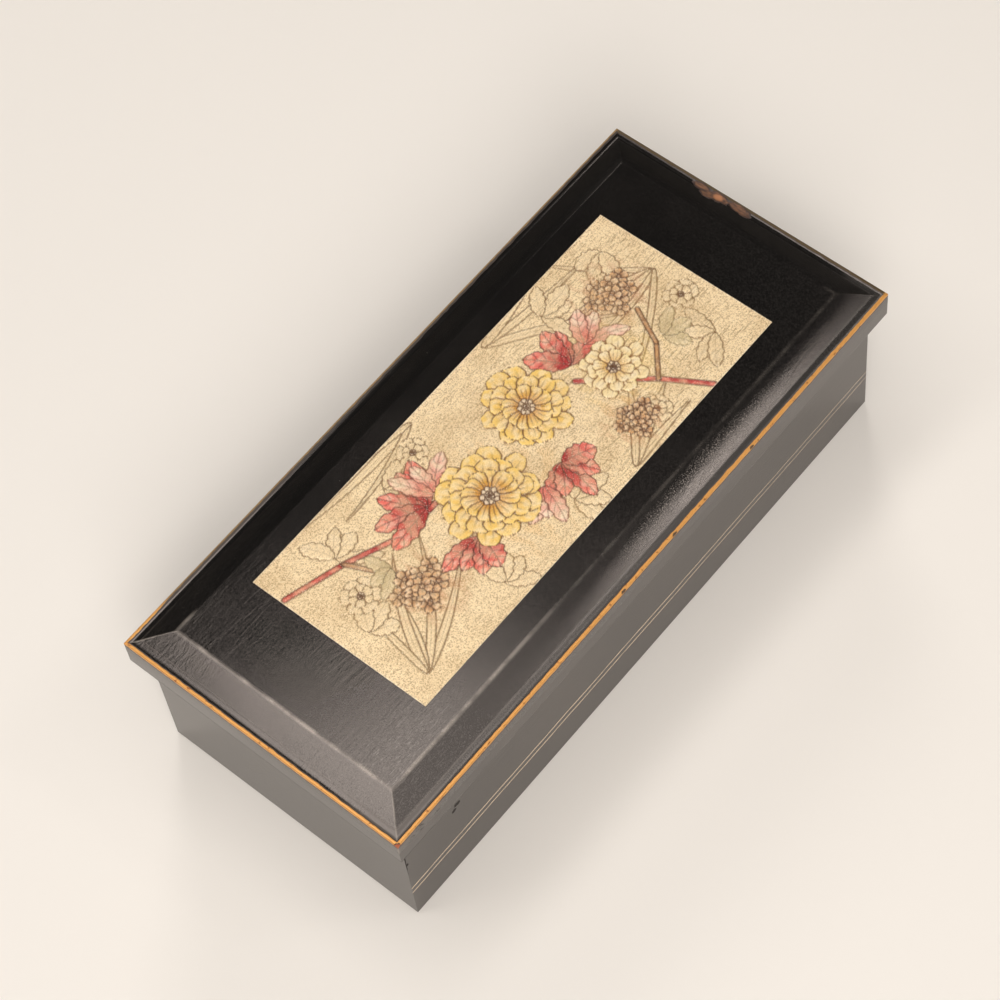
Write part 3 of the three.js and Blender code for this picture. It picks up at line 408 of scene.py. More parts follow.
def striped_lacquer():
    """The front wall's lacquer, with the two thin painted lines near its foot and dark marks."""
    skin = lacquer("black lacquer with two painted lines")
    x, y, z = skin.axes()
    height = skin.plus(z, skin.step(skin.grain(7, 1), 0.2, 0.8, -0.12, 0.12))
    lines = skin.most(*[skin.step(skin.gap(height, middle), stripe_width / 2 - 0.08,
                                  stripe_width / 2 + 0.08, 1, 0) for middle in stripe_heights])
    lines = skin.times(lines, skin.step(skin.grain(3.5, 4), 0.28, 0.5, 0.62, 1),
                       skin.step(x, -30, 80, 1, 0.55),
                       skin.step(y, -wall_half.y + 0.1, -wall_half.y + 0.3, 1, 0))
    skin.paint(lines, (224, 202, 176), 0.5, 0.1)
    skin.bump(lines, 0.03, 0.5)
    dark = skin.most(*[skin.blot((across, -wall_half.y, up), (wide, 1.2, high), 0.8, 0.7)
                       for (across, up), (wide, high) in wall_marks])
    skin.paint(skin.step(dark, 0, 0.2), (12, 10, 9), 0.9)
    skin.bump(skin.step(dark, 0, 0.3), -0.25)
    return skin


def rail_lacquer():
    """The lid rails' lacquer: the lower outer edge is rubbed, and cracked at the near corner."""
    skin = lacquer("black lacquer of the lid's sides")
    x, _, z = skin.axes()
    away = skin.gap(z, box_of("lid_front_rail")[0].z + 0.3)
    rubbed = skin.times(skin.step(away, 0.1, 0.35, 0.6, 0), skin.step(skin.grain(9, 4), 0.4, 0.6))
    skin.paint(rubbed, (140, 130, 122), 0.4)
    split = skin.times(skin.step(away, 0.2, 0.45, 1, 0), skin.step(x, -84, -80, 1, 0))
    skin.paint(split, (16, 13, 12), 0.8)
    return skin


def velvet(name, deep, lit):
    """Short pile cloth: dark into the pile, lit at a glancing angle, with brushed patches."""
    skin = Finish(name, deep, 0.95, Sheen_Weight=0.8, Sheen_Roughness=0.35,
                  Sheen_Tint=tuple(min(255, c + 60) for c in lit), Specular_IOR_Level=0.2)
    brushed = skin.grain(6, 3, distortion=0.6)
    pile = skin.grain(0.32, 3)
    tone = skin.mix(skin.step(brushed, 0.3, 0.75, 0.15, 0.85), deep, lit)
    skin.set("Base Color", skin.mix(skin.step(pile, 0.3, 0.75, 0.0, 0.55), tone,
                                    tuple(int(c * 0.45) for c in deep)))
    skin.bump(brushed, 0.2, 0.4)
    skin.bump(pile, 0.16, 0.8)
    return skin


def metal(name, colour, tarnish, roughness, brush=(1, 1, 1), pits=0.0):
    """Worked metal: brushing along one way, uneven shine and some tarnish."""
    skin = Finish(name, colour, roughness, Metallic=1.0)
    cloud = skin.grain(5, 4)
    lines = skin.grain(0.28, 2, skin.spot(brush))
    skin.coat(skin.mix(skin.step(cloud, 0.5, 0.78, 0, 0.75), colour, tarnish),
              skin.plus(skin.step(cloud, 0.3, 0.8, roughness, roughness + 0.16),
                        skin.step(lines, 0.3, 0.7, -0.05, 0.06)))
    skin.bump(lines, 0.012, 0.35)
    if pits:
        skin.bump(skin.grain(0.5, 3), pits, 0.6)
    return skin


def base_wood():
    """Thinly stained board: dark brown, with the grain's streaks running along the box."""
    skin = Finish("stained base board", (42, 32, 26), 0.6)
    streak = skin.grain(1.6, 4, skin.spot((0.06, 1, 1)), 0.8)
    pore = skin.grain(0.5, 2, skin.spot((0.05, 1, 1)))
    tone = skin.mix(skin.step(streak, 0.3, 0.7), (58, 45, 35), (31, 24, 20))
    skin.coat(skin.mix(skin.step(pore, 0.6, 0.7, 0, 0.7), tone, (16, 12, 10)),
              skin.step(streak, 0.3, 0.7, 0.5, 0.68))
    skin.bump(pore, 0.06, 0.5)
    return skin


def mirror_glass():
    """Silvered glass with a little dust and a faint cloudy darkening."""
    skin = Finish("silvered mirror", (226, 231, 229), 0.02, Metallic=1.0)
    cloud, dust = skin.grain(18, 3), skin.grain(0.8, 4)
    skin.coat(skin.mix(skin.step(cloud, 0.55, 0.8, 0, 0.25), (230, 234, 232), (176, 178, 172)),
              skin.step(dust, 0.5, 0.8, 0.015, 0.09))
    return skin


def clear_sheet():
    """Clear acrylic with faint hairlines and fingerprints."""
    skin = Finish("clear cover", (238, 243, 243), 0.06, IOR=1.49, Transmission_Weight=1.0)
    hair = skin.grain(0.9, 2, skin.spot((0.08, 1, 1), (0, 0, 0.6)))
    skin.set("Roughness", skin.plus(skin.step(skin.grain(9, 3), 0.5, 0.8, 0.03, 0.14),
                                    skin.step(hair, 0.64, 0.7, 0, 0.12)))
    skin.bump(skin.step(hair, 0.64, 0.7), 0.008, 0.4)
    return skin


def moulded_nylon():
    """Off-white moulded nylon, a little cloudy."""
    skin = Finish("moulded nylon", (222, 217, 200), 0.45, Subsurface_Weight=0.15)
    cloud = skin.grain(1.4, 3)
    skin.coat(skin.mix(skin.step(cloud, 0.35, 0.75), (228, 223, 207), (202, 194, 172)),
              skin.step(cloud, 0.3, 0.7, 0.36, 0.52))
    skin.bump(cloud, 0.02, 0.4)
    return skin


def embossed_foil():
    """Gold-toned foil: tinted where it is painted, finely speckled and brushed where bare, with
    fine painted glints all over.
    """
    skin = Finish("embossed foil", (232, 206, 158), 0.42, Metallic=0.12)
    bare = skin.attribute("bare_foil")
    fine = skin.grain(0.3, 4)
    brushed = skin.grain(1.1, 3, skin.spot((0.3, 2.4, 1), (0, 0, 0.85)))
    far_half = skin.step(skin.axes()[0], -30, 45, 0.35, 1)
    cloud = skin.grain(11, 3)
    colour = skin.attribute("tint", "Color")
    for share, tone in (
            (skin.times(skin.step(cloud, 0.4, 0.7, 0, 0.35), bare), (200, 168, 118)),
            (skin.times(skin.step(brushed, 0.52, 0.7, 0, 0.55), far_half, bare), (140, 112, 72)),
            (skin.times(skin.step(fine, 0.5, 0.6, 0, 0.55), bare), (146, 112, 72)),
            # Painted glints: fine near-white specks.
            (skin.step(fine, 0.32, 0.42, 0.55, 0), (255, 243, 216))):
        colour = skin.mix(share, colour, tone)
    skin.coat(colour, skin.step(fine, 0.35, 0.65, 0.32, 0.5))
    skin.bump(brushed, 0.05, 0.5)
    skin.bump(fine, 0.03, 0.6)
    return skin


# Making pieces

def in_scene(piece):
    """Puts an object in the scene."""
    bpy.context.scene.collection.objects.link(piece)
    return piece


def object_of(bm, name):
    """Turns a bmesh into an object in the scene."""
    mesh = bpy.data.meshes.new(name)
    bm.to_mesh(mesh)
    bm.free()
    return in_scene(bpy.data.objects.new(name, mesh))


def sharpen(bm, crisp):
    """Smooth shading, broken at seams and where an edge turns by more than crisp degrees."""
    for face in bm.faces:
        face.smooth = True
    for edge in bm.edges:
        edge.smooth = (len(edge.link_faces) == 2 and not edge.seam
                       and edge.calc_face_angle(pi) < radians(crisp))


def finish_piece(bm, name, body, finish, replaces=(), crisp=35, even=False):
    """Turns a bmesh in millimetres into a named piece that rides on its body."""
    bmesh.ops.scale(bm, vec=(mm, mm, mm), verts=bm.verts)
    bmesh.ops.recalc_face_normals(bm, faces=bm.faces)
    sharpen(bm, crisp)
    piece = object_of(bm, name)
    piece.data.materials.append(finish.material)
    if even:
        piece.modifiers.new("even shading", "WEIGHTED_NORMAL").keep_sharp = True
    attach(piece, body)
    if replaces:
        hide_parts(*replaces)
    return piece


def add_block(bm, low, high):
    """Adds a box between two corners to a bmesh."""
    made = bmesh.ops.create_cube(bm, size=1)["verts"]
    bmesh.ops.scale(bm, vec=high - low, verts=made)
    bmesh.ops.translate(bm, vec=(low + high) / 2, verts=made)


def block(low, high):
    """A box between two corners, as a new bmesh."""
    bm = bmesh.new()
    add_block(bm, Vector(low), Vector(high))
    return bm


def settle(shape):
    """Makes what a shape's modifiers give its own mesh."""
    bpy.context.view_layer.update()
    seen = shape.evaluated_get(bpy.context.evaluated_depsgraph_get())
    made = bpy.data.meshes.new_from_object(seen)
    shape.modifiers.clear()
    shape.data = made


def cut_out(piece, boxes):
    """Cuts boxes, each two corners in metres, out of a piece."""
    bm = bmesh.new()
    for low, high in boxes:
        add_block(bm, low, high)
    cutter = object_of(bm, "cutter")
    cut = piece.modifiers.new("cut", "BOOLEAN")
    cut.object, cut.solver = cutter, "EXACT"
    settle(piece)
    bpy.data.objects.remove(cutter)


def hinge_mortises(leaf):
    """The room that both hinges take, round their leaves and knuckles and open behind."""
    room, behind = Vector((0.15, 0.1, 0.1)) * mm, Vector((0, 2, 0)) * mm
    boxes = []
    for side in ("left", "right"):
        low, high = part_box(f"{side}_hinge_{leaf}_leaf")
        boxes.append((low - room, high + room + behind))
    return boxes


def moulding_steps():
    """(inset, height) across the lid's edge, from the side to the flat field."""
    steps = [(inset, rim_height - away) for inset, away in quarter_round(rim_roll, 7)]
    fall = 2 * cove_dip * (1 + (1 + foot_rise / cove_dip) ** 0.5)
    for k in range(11):
        share = k / 10
        steps.append((rim_flat + (cove_edge - rim_flat) * share,
                      rim_height - fall * share + (fall + foot_rise) * share ** 2))
    for k in range(20):
        share = 0.03 + 0.95 * k / 19
        swelled = slope_swell * sin(share * pi / 2) + (1 - slope_swell) * share
        steps.append((cove_edge + (moulding_inset - cove_edge) * share,
                      rim_height + foot_rise + (moulding_rise - foot_rise) * swelled))
    steps += [(moulding_inset - 0.05, lid_high.z - 0.017), (moulding_inset + 0.05, lid_high.z),
              (moulding_inset + 0.12, lid_high.z)]
    return steps


def moulded_lid(finish):
    """The lid's moulded board: a block whose top is inset step by step along the moulding."""
    steps = moulding_steps()
    bm = block(lid_low, (lid_high.x, lid_high.y, steps[0][1]))
    top = max(bm.faces, key=lambda face: face.calc_center_median().z)
    for (inset, height), (next_inset, next_height) in zip(steps, steps[1:]):
        bmesh.ops.inset_region(bm, faces=[top], thickness=next_inset - inset,
                               depth=next_height - height, use_even_offset=True)
    for edge in bm.edges:
        run = edge.verts[1].co - edge.verts[0].co
        edge.seam = abs(run.x) > 1e-4 and abs(run.y) > 1e-4
    return finish_piece(bm, "lacquered_lid_board", "lid", finish, ["lid_board"])


def mitred_bar(name, section, half_run, half_depth, side, round_corner, body, finish, replaces):
    """One side of a frame: a section of (inset, height) points drawn along the side, its
    outer corners rounded, then cut at both mitres. side is front, right, back or left."""
    bm = bmesh.new()
    ring = [bm.verts.new((-half_run, inset - half_depth, height)) for inset, height in section]
    face = bm.faces.new(ring)
    run = bmesh.ops.extrude_face_region(bm, geom=[face])["geom"]
    bmesh.ops.translate(bm, vec=(2 * half_run, 0, 0),
                        verts=[v for v in run if isinstance(v, bmesh.types.BMVert)])
    bmesh.ops.recalc_face_normals(bm, faces=bm.faces)
    corners = [e for e in bm.edges
               if all(abs(v.co.y + half_depth) < 1e-4 for v in e.verts)
               and abs(e.verts[0].co.x - e.verts[1].co.x) < 1e-4]
    bmesh.ops.bevel(bm, geom=corners, offset=round_corner, segments=5, affect="EDGES",
                    profile=0.5, material=-1, clamp_overlap=True)
    for sense in (1, -1):
        cut = bmesh.ops.bisect_plane(
            bm, geom=list(bm.verts) + list(bm.edges) + list(bm.faces), dist=1e-5,
            plane_co=(sense * half_run, -half_depth, 0), plane_no=(sense, 1, 0),
            clear_outer=True)["geom_cut"]
        bmesh.ops.holes_fill(bm, edges=[e for e in cut if isinstance(e, bmesh.types.BMEdge)])
    quarter = {"front": 0, "right": 1, "back": 2, "left": 3}[side]
    bmesh.ops.rotate(bm, matrix=Matrix.Rotation(quarter * pi / 2, 3, "Z"), verts=bm.verts)
    return finish_piece(bm, name, body, finish, replaces, even=True)


def quarter_round(radius, points=4):
    """(inset, distance from the edge) round a corner, or the corner itself."""
    angles = [k / (points - 1) * pi / 2 for k in range(points)] if radius else [0]
    return [(radius * (1 - cos(angle)), radius * (1 - sin(angle))) for angle in angles]


def rounded_section(thickness, low, high, low_round, high_round, groove=None):
    """A wall's section: outer face first, with its outer long edges rounded."""
    points = [(inset, low + away) for inset, away in reversed(quarter_round(low_round))]
    points += [(inset, high - away) for inset, away in quarter_round(high_round)]
    points.append((thickness, high))
    if groove:
        bottom, top, depth = groove
        points += [(thickness, top), (thickness - depth, top),
                   (thickness - depth, bottom), (thickness, bottom)]
    points.append((thickness, low))
    return points


def wall_section():
    """The case walls' section, with the groove that the base board sits in."""
    base_low, base_high = box_of("base_board")
    thickness, play = wall_high.y - wall_low.y, 0.2
    groove = (base_low.z - play, base_high.z + play, base_high.y - (wall_half.y - thickness) + play)
    return rounded_section(thickness, wall_low.z, wall_high.z, 0.5, 0.3, groove)


def rail_section():
    """The lid rails' section, which meets the lid board square."""
    low, high = box_of("lid_front_rail")
    return rounded_section(high.y - low.y, low.z, lid_low.z, 0.5, 0)


def frame_of(part, half, section, round_corner, body, finish, front_finish=None):
    """The four mitred sides of the case or of the lid."""
    for side in ("front", "right", "back", "left"):
        run, depth = (half.x, half.y) if side in ("front", "back") else (half.y, half.x)
        node = {"case": f"case_{side}_wall", "lid": f"lid_{side}_rail"}[part]
        chosen = front_finish if front_finish and side == "front" else finish
        bar = mitred_bar(f"lacquered_{node}", section, run, depth, side, round_corner, body,
                         chosen, [node])
        if side == "back":
            cut_out(bar, hinge_mortises(body))


# The picture panel

def soft(value, low, high):
    """Rises softly from 0 at low to 1 at high."""
    share = np.clip((value - low) / (high - low), 0, 1)
    return share * share * (3 - 2 * share)


def screen(colour):
    """A screen colour as a row of light values."""
    return np.array(linear(colour)[:3])


def mixed(first, second, share):
    """Blends two colours, or two rows of them, by one share or a share for each row."""
    share = np.reshape(share, (-1, 1))
    return first * (1 - share) + second * share


def patches(x, y, size, seed):
    """Smooth uneven patches between 0 and 1, about size millimetres wide."""
    rng = random.Random(seed)
    total = np.zeros(len(x))
    for _ in range(14):
        angle, phase = rng.uniform(0, 2 * pi), rng.uniform(0, 2 * pi)
        pitch = 2 * pi / (size * rng.uniform(1.2, 4))
        total += np.sin((x * cos(angle) + y * sin(angle)) * pitch + phase)
    return soft(total, -3.0, 3.0)


# How a pressed shape is coloured: its tones from root to tip, its outline, how thickly it is
# painted, how strongly it is outlined and how much painted highlight its raised middle gets
Look = namedtuple("Look", "root tip line paint drawn gleam")
foil_tone = (248, 225, 182)
painted_highlight_tone = (255, 243, 216)
gold = Look((208, 142, 44), (250, 212, 112), (104, 64, 22), 1.0, 0.95, 0.4)
cream = Look((228, 180, 92), (254, 234, 178), (132, 90, 42), 0.95, 0.9, 0.55)
rose = Look((176, 34, 40), (240, 116, 102), (88, 18, 22), 1.0, 0.95, 0.42)
blush = Look((218, 100, 90), (250, 204, 184), (112, 42, 38), 0.9, 0.85, 0.75)
brown = Look((146, 86, 46), (222, 164, 104), (84, 48, 26), 0.85, 0.9, 0.5)
pressed = Look(foil_tone, foil_tone, (112, 82, 46), 0.4, 0.85, 0.7)
sage = Look((172, 158, 110), (216, 200, 150), (104, 90, 56), 0.6, 0.7, 0.5)


class Sheet:
    """The embossed sheet on a fine grid: each shape laid on it raises and tints its points."""

    def __init__(self, places):
        self.x, self.y = places[:, 0], places[:, 1]
        self.height = 0.03 * patches(self.x, self.y, 2.0, 1)
        self.tint = np.tile(screen(foil_tone), (len(places), 1))
        self.bare = np.ones(len(places))
        self.wash = patches(self.x, self.y, 2.2, 2)
        # Patches where the painted highlights fall.
        self.highlight_patches = patches(self.x, self.y, 1.3, 3)

    def lay(self, part, inside, dome, colour, look, edge=0.16):
        """Raises and tints the points of part. inside is how many millimetres each lies
        behind the shape's edge, and dome its height there."""
        cover = soft(inside, -0.03, 0.12)
        rim = soft(inside, -0.4, -0.16) * (1 - soft(inside, 0.3 * edge, edge)) * look.drawn
        self.height[part] += (dome - self.height[part]) * cover - 0.09 * rim
        paint = look.paint * (0.72 + 0.28 * self.wash[part])
        wet = mixed(screen(foil_tone), colour, paint)
        self.tint[part] = mixed(mixed(self.tint[part], wet, cover), screen(look.line), rim)
        self.bare[part] += (1 - 0.75 * paint - self.bare[part]) * cover

    def stain(self, centre, radius, tone, strength):
        """A soft wash of colour without an edge."""
        away = np.hypot(self.x - centre[0], self.y - centre[1]) / radius
        share = strength * (1 - soft(away + 0.5 * self.wash - 0.25, 0.2, 1.0))
        self.tint = mixed(self.tint, screen(tone), share)

    def leaf(self, root, angle, length, width, look, shape=(0.6, 0.5), lift=0.2, ribs=0,
             side_veins=0, bend=0.0, frill=0.0):
        """A petal, leaf or blade: pointed or blunt by its shape, ribbed or veined."""
        dx, dy = self.x - root[0], self.y - root[1]
        part = np.nonzero(dx * dx + dy * dy < (length * 1.25) ** 2)[0]
        dx, dy = dx[part], dy[part]
        along = (dx * cos(angle) + dy * sin(angle)) / length
        across = -dx * sin(angle) + dy * cos(angle) - bend * along * along * length
        a, b = shape
        peak = (a / (a + b)) ** a * (b / (a + b)) ** b
        s = np.clip(along, 0, 1)
        half = width / 2 * s ** a * (1 - s) ** b / peak
        half = half * (1 + frill * np.sin(s * 26) * (s > 0.2))
        inside = np.minimum(half - np.abs(across), np.minimum(along, 1 - along) * length * 0.8)
        side = np.clip(np.abs(across) / np.maximum(half, 1e-3), 0, 1)
        dome = lift * (0.4 + 0.6 * np.sqrt(1 - side ** 2)) * (0.75 + 0.25 * soft(s, 0, 0.6))
        dark = np.zeros(len(part))
        if ribs:
            wave = np.abs(np.sin((across / np.maximum(half, 1e-3) * 0.5 + 0.5) * pi * ribs))
            dark = (1 - soft(wave, 0.15, 0.6)) * (1 - soft(s, 0.5, 1.0))
        if side_veins:
            vein = (s * side_veins - side * 0.9) % 1
            dark = 1 - soft(np.abs(vein - 0.5), 0.05, 0.12)
            dark = np.maximum(0.8 * dark, 1 - soft(np.abs(across), 0.08, 0.22))
            dark = dark * (1 - soft(side, 0.75, 0.95))
        colour = mixed(screen(look.root), screen(look.tip), soft(s, 0.1, 1.0))
        # Painted highlight on the raised middle of each shape, towards its tip.
        gleam = look.gleam * self.highlight_patches[part] * soft(1 - side, 0.0, 0.6) * soft(s, 0.3, 0.8)
        colour = mixed(mixed(colour, screen(painted_highlight_tone), gleam), screen(look.line), 0.75 * dark)
        self.lay(part, inside, dome - 0.07 * dark, colour, look)

    def stem(self, points, width, look):
        """A stem along straight runs between points."""
        for (x0, y0), (x1, y1) in zip(points, points[1:]):
            run = np.hypot(x1 - x0, y1 - y0)
            share = ((self.x - x0) * (x1 - x0) + (self.y - y0) * (y1 - y0)) / run ** 2
            share = np.clip(share, 0, 1)
            away = np.hypot(self.x - x0 - share * (x1 - x0), self.y - y0 - share * (y1 - y0))
            part = np.nonzero(away < width)[0]
            away = away[part]
            top = np.sqrt(np.clip(1 - (2 * away / width) ** 2, 0, 1))
            # Painted highlight along the stem's rounded crest, in its tip tone.
            colour = mixed(screen(look.root), screen(look.tip), 0.7 * top * self.highlight_patches[part])
            self.lay(part, width / 2 - away, 0.2 * top, colour, look)

    def bead(self, centre, radius, tone, look, lift=0.2):
        """A small round bump."""
        away = np.hypot(self.x - centre[0], self.y - centre[1])
        part = np.nonzero(away < radius + 0.4)[0]
        away = away[part]
        self.lay(part, radius - away, lift * np.sqrt(np.clip(1 - (away / radius) ** 2, 0, 1)),
                 screen(tone), look, 0.12)


def blossom(sheet, centre, radius, petals, turn, rng, look,
            rows=((1.0, 0.46), (0.76, 0.4), (0.5, 0.32))):
    """An open flower: rows of blunt ribbed petals, each row shorter, round a beaded heart."""
    for row, (reach, width) in enumerate(rows):
        for k in range(petals):
            angle = turn + (k + 0.5 * row) * 2 * pi / petals + rng.uniform(-0.09, 0.09)
            root = (centre[0] + 0.1 * radius * cos(angle), centre[1] + 0.1 * radius * sin(angle))
            sheet.leaf(root, angle, radius * reach * rng.uniform(0.84, 1.0) * 0.92,
                       radius * width * rng.uniform(0.85, 1.1), look,
                       (0.85, rng.uniform(0.25, 0.4)), 0.18 + 0.05 * row, ribs=3,
                       bend=rng.uniform(-0.1, 0.1), frill=0.03)
    for k in range(26):
        angle, away = k * 2.4, 0.15 * radius * (k / 26) ** 0.5
        sheet.bead((centre[0] + away * cos(angle), centre[1] + away * sin(angle)),
                   0.042 * radius, (226, 206, 180), brown, 0.3)


def spray(sheet, root, angle, leaves, length, width, look, rng, spread=0.9):
    """Pointed veined leaves fanned from one point."""
    for k in range(leaves):
        turn = angle + spread * (k - (leaves - 1) / 2) + rng.uniform(-0.15, 0.15)
        sheet.leaf(root, turn, length * rng.uniform(0.75, 1.1), width * rng.uniform(0.8, 1.1),
                   look, (0.62, 0.55), 0.22, side_veins=5, bend=rng.uniform(-0.2, 0.2), frill=0.1)


def cluster(sheet, centre, radius, rng, look):
    """A ball of small five-petalled blossoms."""
    places = [(centre[0] + radius * (k / 9) ** 0.6 * cos(k * 2.4),
               centre[1] + radius * (k / 9) ** 0.6 * sin(k * 2.4)) for k in range(9, -1, -1)]
    for x, y in places:
        turn = rng.uniform(0, pi)
        for k in range(5):
            sheet.leaf((x, y), turn + k * 2 * pi / 5, radius * 0.44, radius * 0.34, look,
                       (0.7, 0.35), 0.18, ribs=2)
        sheet.bead((x, y), radius * 0.09, (150, 96, 58), look)


def blades(sheet, root, angles, length, width, rng, look):
    """Long grass blades from one root."""
    for angle in angles:
        sheet.leaf(root, angle, length * rng.uniform(0.7, 1.1), width * rng.uniform(0.8, 1.3),
                   look, (0.35, 0.9), 0.18, side_veins=1, bend=rng.uniform(-0.25, 0.25))


def draw_garden(sheet):
    """A branch of open blossoms with rose leaves, among grasses and leaves that are only
    pressed into the foil."""
    rng = random.Random(5)
    for root, angles, length in (((-60, -22), (0.3, 0.55, 0.85, 1.15, 1.4), 34),
                                 ((62, 6), (2.3, 2.7, 3.05, 3.4, 3.8), 32),
                                 ((18, 26), (-0.55, -0.2, 0.05), 34),
                                 ((-10, 26), (3.2, 3.5, 2.95), 36),
                                 ((14, -26), (0.12, 0.38, 0.65), 32)):
        blades(sheet, root, angles, length, 1.8, rng, pressed)
    for root, angle, leaves, length in (((-50, 16), 0.4, 4, 11), ((-30, -21), 0.3, 4, 10),
                                        ((56, -18), 2.6, 4, 11), ((34, 20), -0.3, 4, 11),
                                        ((-28, 19), -0.6, 3, 10), ((58, 20), 3.6, 3, 9),
                                        ((-2, -20), -0.5, 4, 10), ((-60, -4), 0.2, 3, 9)):
        spray(sheet, root, angle, leaves, length, 4.2, pressed, rng, 0.8)
    for centre, radius in (((-54, 4), 5.2), ((60, -4), 4.6), ((-16, 20), 4.4), ((30, -20), 4.2)):
        blossom(sheet, centre, radius, 6, 0.3, rng, pressed, ((1.0, 0.8), (0.6, 0.5)))
    sheet.stain((-42, -7), 11, (196, 128, 80), 0.55)
    sheet.stain((49, 10), 11, (190, 122, 84), 0.5)
    sheet.stain((24, -17), 9, (200, 136, 88), 0.45)
    sheet.stain((-12, -6), 20, (238, 190, 110), 0.35)
    sheet.stain((34, -4), 15, (240, 206, 120), 0.4)
    sheet.stem([(-66, 18), (-50, 13), (-36, 7), (-20, 6)], 1.3, rose)
    sheet.stem([(-50, 13), (-46, 4), (-42, -4)], 1.0, brown)
    sheet.stem([(44, -27), (37, -15), (30, -6), (24, 1)], 1.3, rose)
    sheet.stem([(37, -15), (45, -8), (50, 2)], 1.0, brown)
    spray(sheet, (-26, 7), 2.1, 5, 13, 5.6, rose, rng, 0.55)
    spray(sheet, (-22, 8), 1.3, 3, 12, 5.0, blush, rng, 0.6)
    spray(sheet, (4, -11), -1.6, 5, 12, 5.4, rose, rng, 0.6)
    spray(sheet, (-4, -12), -2.4, 3, 11, 5.0, blush, rng, 0.5)
    spray(sheet, (27, 5), 1.2, 4, 12, 5.2, rose, rng, 0.6)
    spray(sheet, (34, 6), 0.3, 3, 11, 4.8, blush, rng, 0.6)
    spray(sheet, (-24, -9), -2.5, 4, 12, 5.2, rose, rng, 0.55)
    spray(sheet, (-44, 3), 2.9, 3, 8, 3.6, sage, rng)
    spray(sheet, (48, -8), -0.3, 3, 8, 3.8, sage, rng)
    cluster(sheet, (-43, -6), 6.0, rng, brown)
    cluster(sheet, (50, 10), 5.6, rng, brown)
    cluster(sheet, (25, -18), 4.6, rng, brown)
    blossom(sheet, (33, -4), 9.5, 8, 0.5, rng, cream)
    blossom(sheet, (-14, -3), 14.0, 12, 0.1, rng, gold)
    blossom(sheet, (11, 6), 12.5, 11, 0.9, rng, gold)


def picture_panel(finish):
    """The panel's sheet: a fine grid raised where the design is embossed, on a thin plate."""
    relief = 0.33
    sheet_top = panel_high.z - relief
    length, width, _ = size_of("picture_panel")
    middle = (panel_low + panel_high) / 2
    bm = bmesh.new()
    bmesh.ops.create_grid(bm, x_segments=460, y_segments=188, size=0.5)
    bmesh.ops.scale(bm, vec=(length, width, 1), verts=bm.verts)
    places = np.array([vert.co[:] for vert in bm.verts])
    sheet = Sheet(places)
    draw_garden(sheet)
    edge = np.minimum(length / 2 - np.abs(places[:, 0]), width / 2 - np.abs(places[:, 1]))
    height = np.clip(sheet.height, -0.05, relief) * soft(edge, 0.0, 0.5)
    for vert, lift in zip(bm.verts, height):
        vert.co.z = lift
    bmesh.ops.translate(bm, vec=(middle.x, middle.y, sheet_top), verts=bm.verts)
    border = [e for e in bm.edges if e.is_boundary]
    skirt = bmesh.ops.extrude_edge_only(bm, edges=border)["geom"]
    drop = sheet_top - panel_low.z
    for vert in (v for v in skirt if isinstance(v, bmesh.types.BMVert)):
        vert.co.z -= drop
    bottom = [e for e in bm.edges if e.is_boundary]
    bmesh.ops.contextual_create(bm, geom=bottom)
    # The sheet is paler along its edge.
    pale_edge = 1 - soft(edge, 0.1, 0.35)
    tint = mixed(sheet.tint, screen((244, 232, 208)), 0.7 * pale_edge)
    tint = np.concatenate([tint, np.ones((len(tint), 1))], axis=1)
    extra = len(bm.verts) - len(places)
    tint = np.concatenate([tint, np.tile(linear((196, 168, 124)), (extra, 1))])
    bare = np.concatenate([sheet.bare, np.zeros(extra)])
    piece = finish_piece(bm, "embossed_picture_panel", "lid", finish,
                         ["picture_panel"], crisp=60)
    colours = piece.data.color_attributes.new("tint", "FLOAT_COLOR", "POINT")
    colours.data.foreach_set("color", tint.ravel())
    piece.data.attributes.new("bare_foil", "FLOAT", "POINT").data.foreach_set("value", bare)
    return piece


# Inside the box

def wrapped_board(node, finish):
    """A lining board wrapped in velvet, which rounds its edges."""
    low, high = box_of(node)
    bm = block(low, high)
    bmesh.ops.bevel(bm, geom=list(bm.edges), offset=0.5, segments=3, affect="EDGES",
                    profile=0.5, material=-1)
    return finish_piece(bm, "velvet_" + node, "case", finish, [node], even=True)


def puffed(size, top_round, cap):
    """A stuffed shape of the given size in millimetres, standing on the origin: a block with
    a rounded top, blown up by a cloth simulation that moves no point further than cap. The
    simulation runs thirty times enlarged, because cloth is made for larger shapes."""
    enlarge, voxel, pressure, frames = 0.03, 1.1, 4, 20
    shrink = 0.5 * cap
    bm = block((shrink - size.x / 2, shrink - size.y / 2, 0),
               (size.x / 2 - shrink, size.y / 2 - shrink, size.z - shrink))
    upper = [e for e in bm.edges if all(v.co.z > 0.1 for v in e.verts)]
    bmesh.ops.bevel(bm, geom=upper, offset=top_round, segments=6, affect="EDGES",
                    profile=0.5, material=-1)
    bmesh.ops.scale(bm, vec=(enlarge,) * 3, verts=bm.verts)
    shape = object_of(bm, "stuffing")
    remesh = shape.modifiers.new("remesh", "REMESH")
    remesh.mode, remesh.voxel_size = "VOXEL", voxel * enlarge
    settle(shape)
    start = [vert.co.copy() for vert in shape.data.vertices]
    cloth = shape.modifiers.new("swelling", "CLOTH").settings
    cloth.use_pressure, cloth.uniform_pressure_force = True, pressure
    cloth.effector_weights.gravity = 0
    for step in range(1, frames + 1):
        bpy.context.scene.frame_set(step)
    settle(shape)
    bpy.context.scene.frame_set(1)
    for vert, place in zip(shape.data.vertices, start):
        move = vert.co - place
        if move.length > cap * enlarge:
            vert.co = place + move.normalized() * cap * enlarge
    bm = bmesh.new()
    bm.from_mesh(shape.data)
    bpy.data.objects.remove(shape)
    bmesh.ops.scale(bm, vec=(1 / enlarge,) * 3, verts=bm.verts)
    for _ in range(3):
        bmesh.ops.smooth_vert(bm, verts=bm.verts, factor=0.5, use_axis_x=True, use_axis_y=True,
                              use_axis_z=True)
    return bm


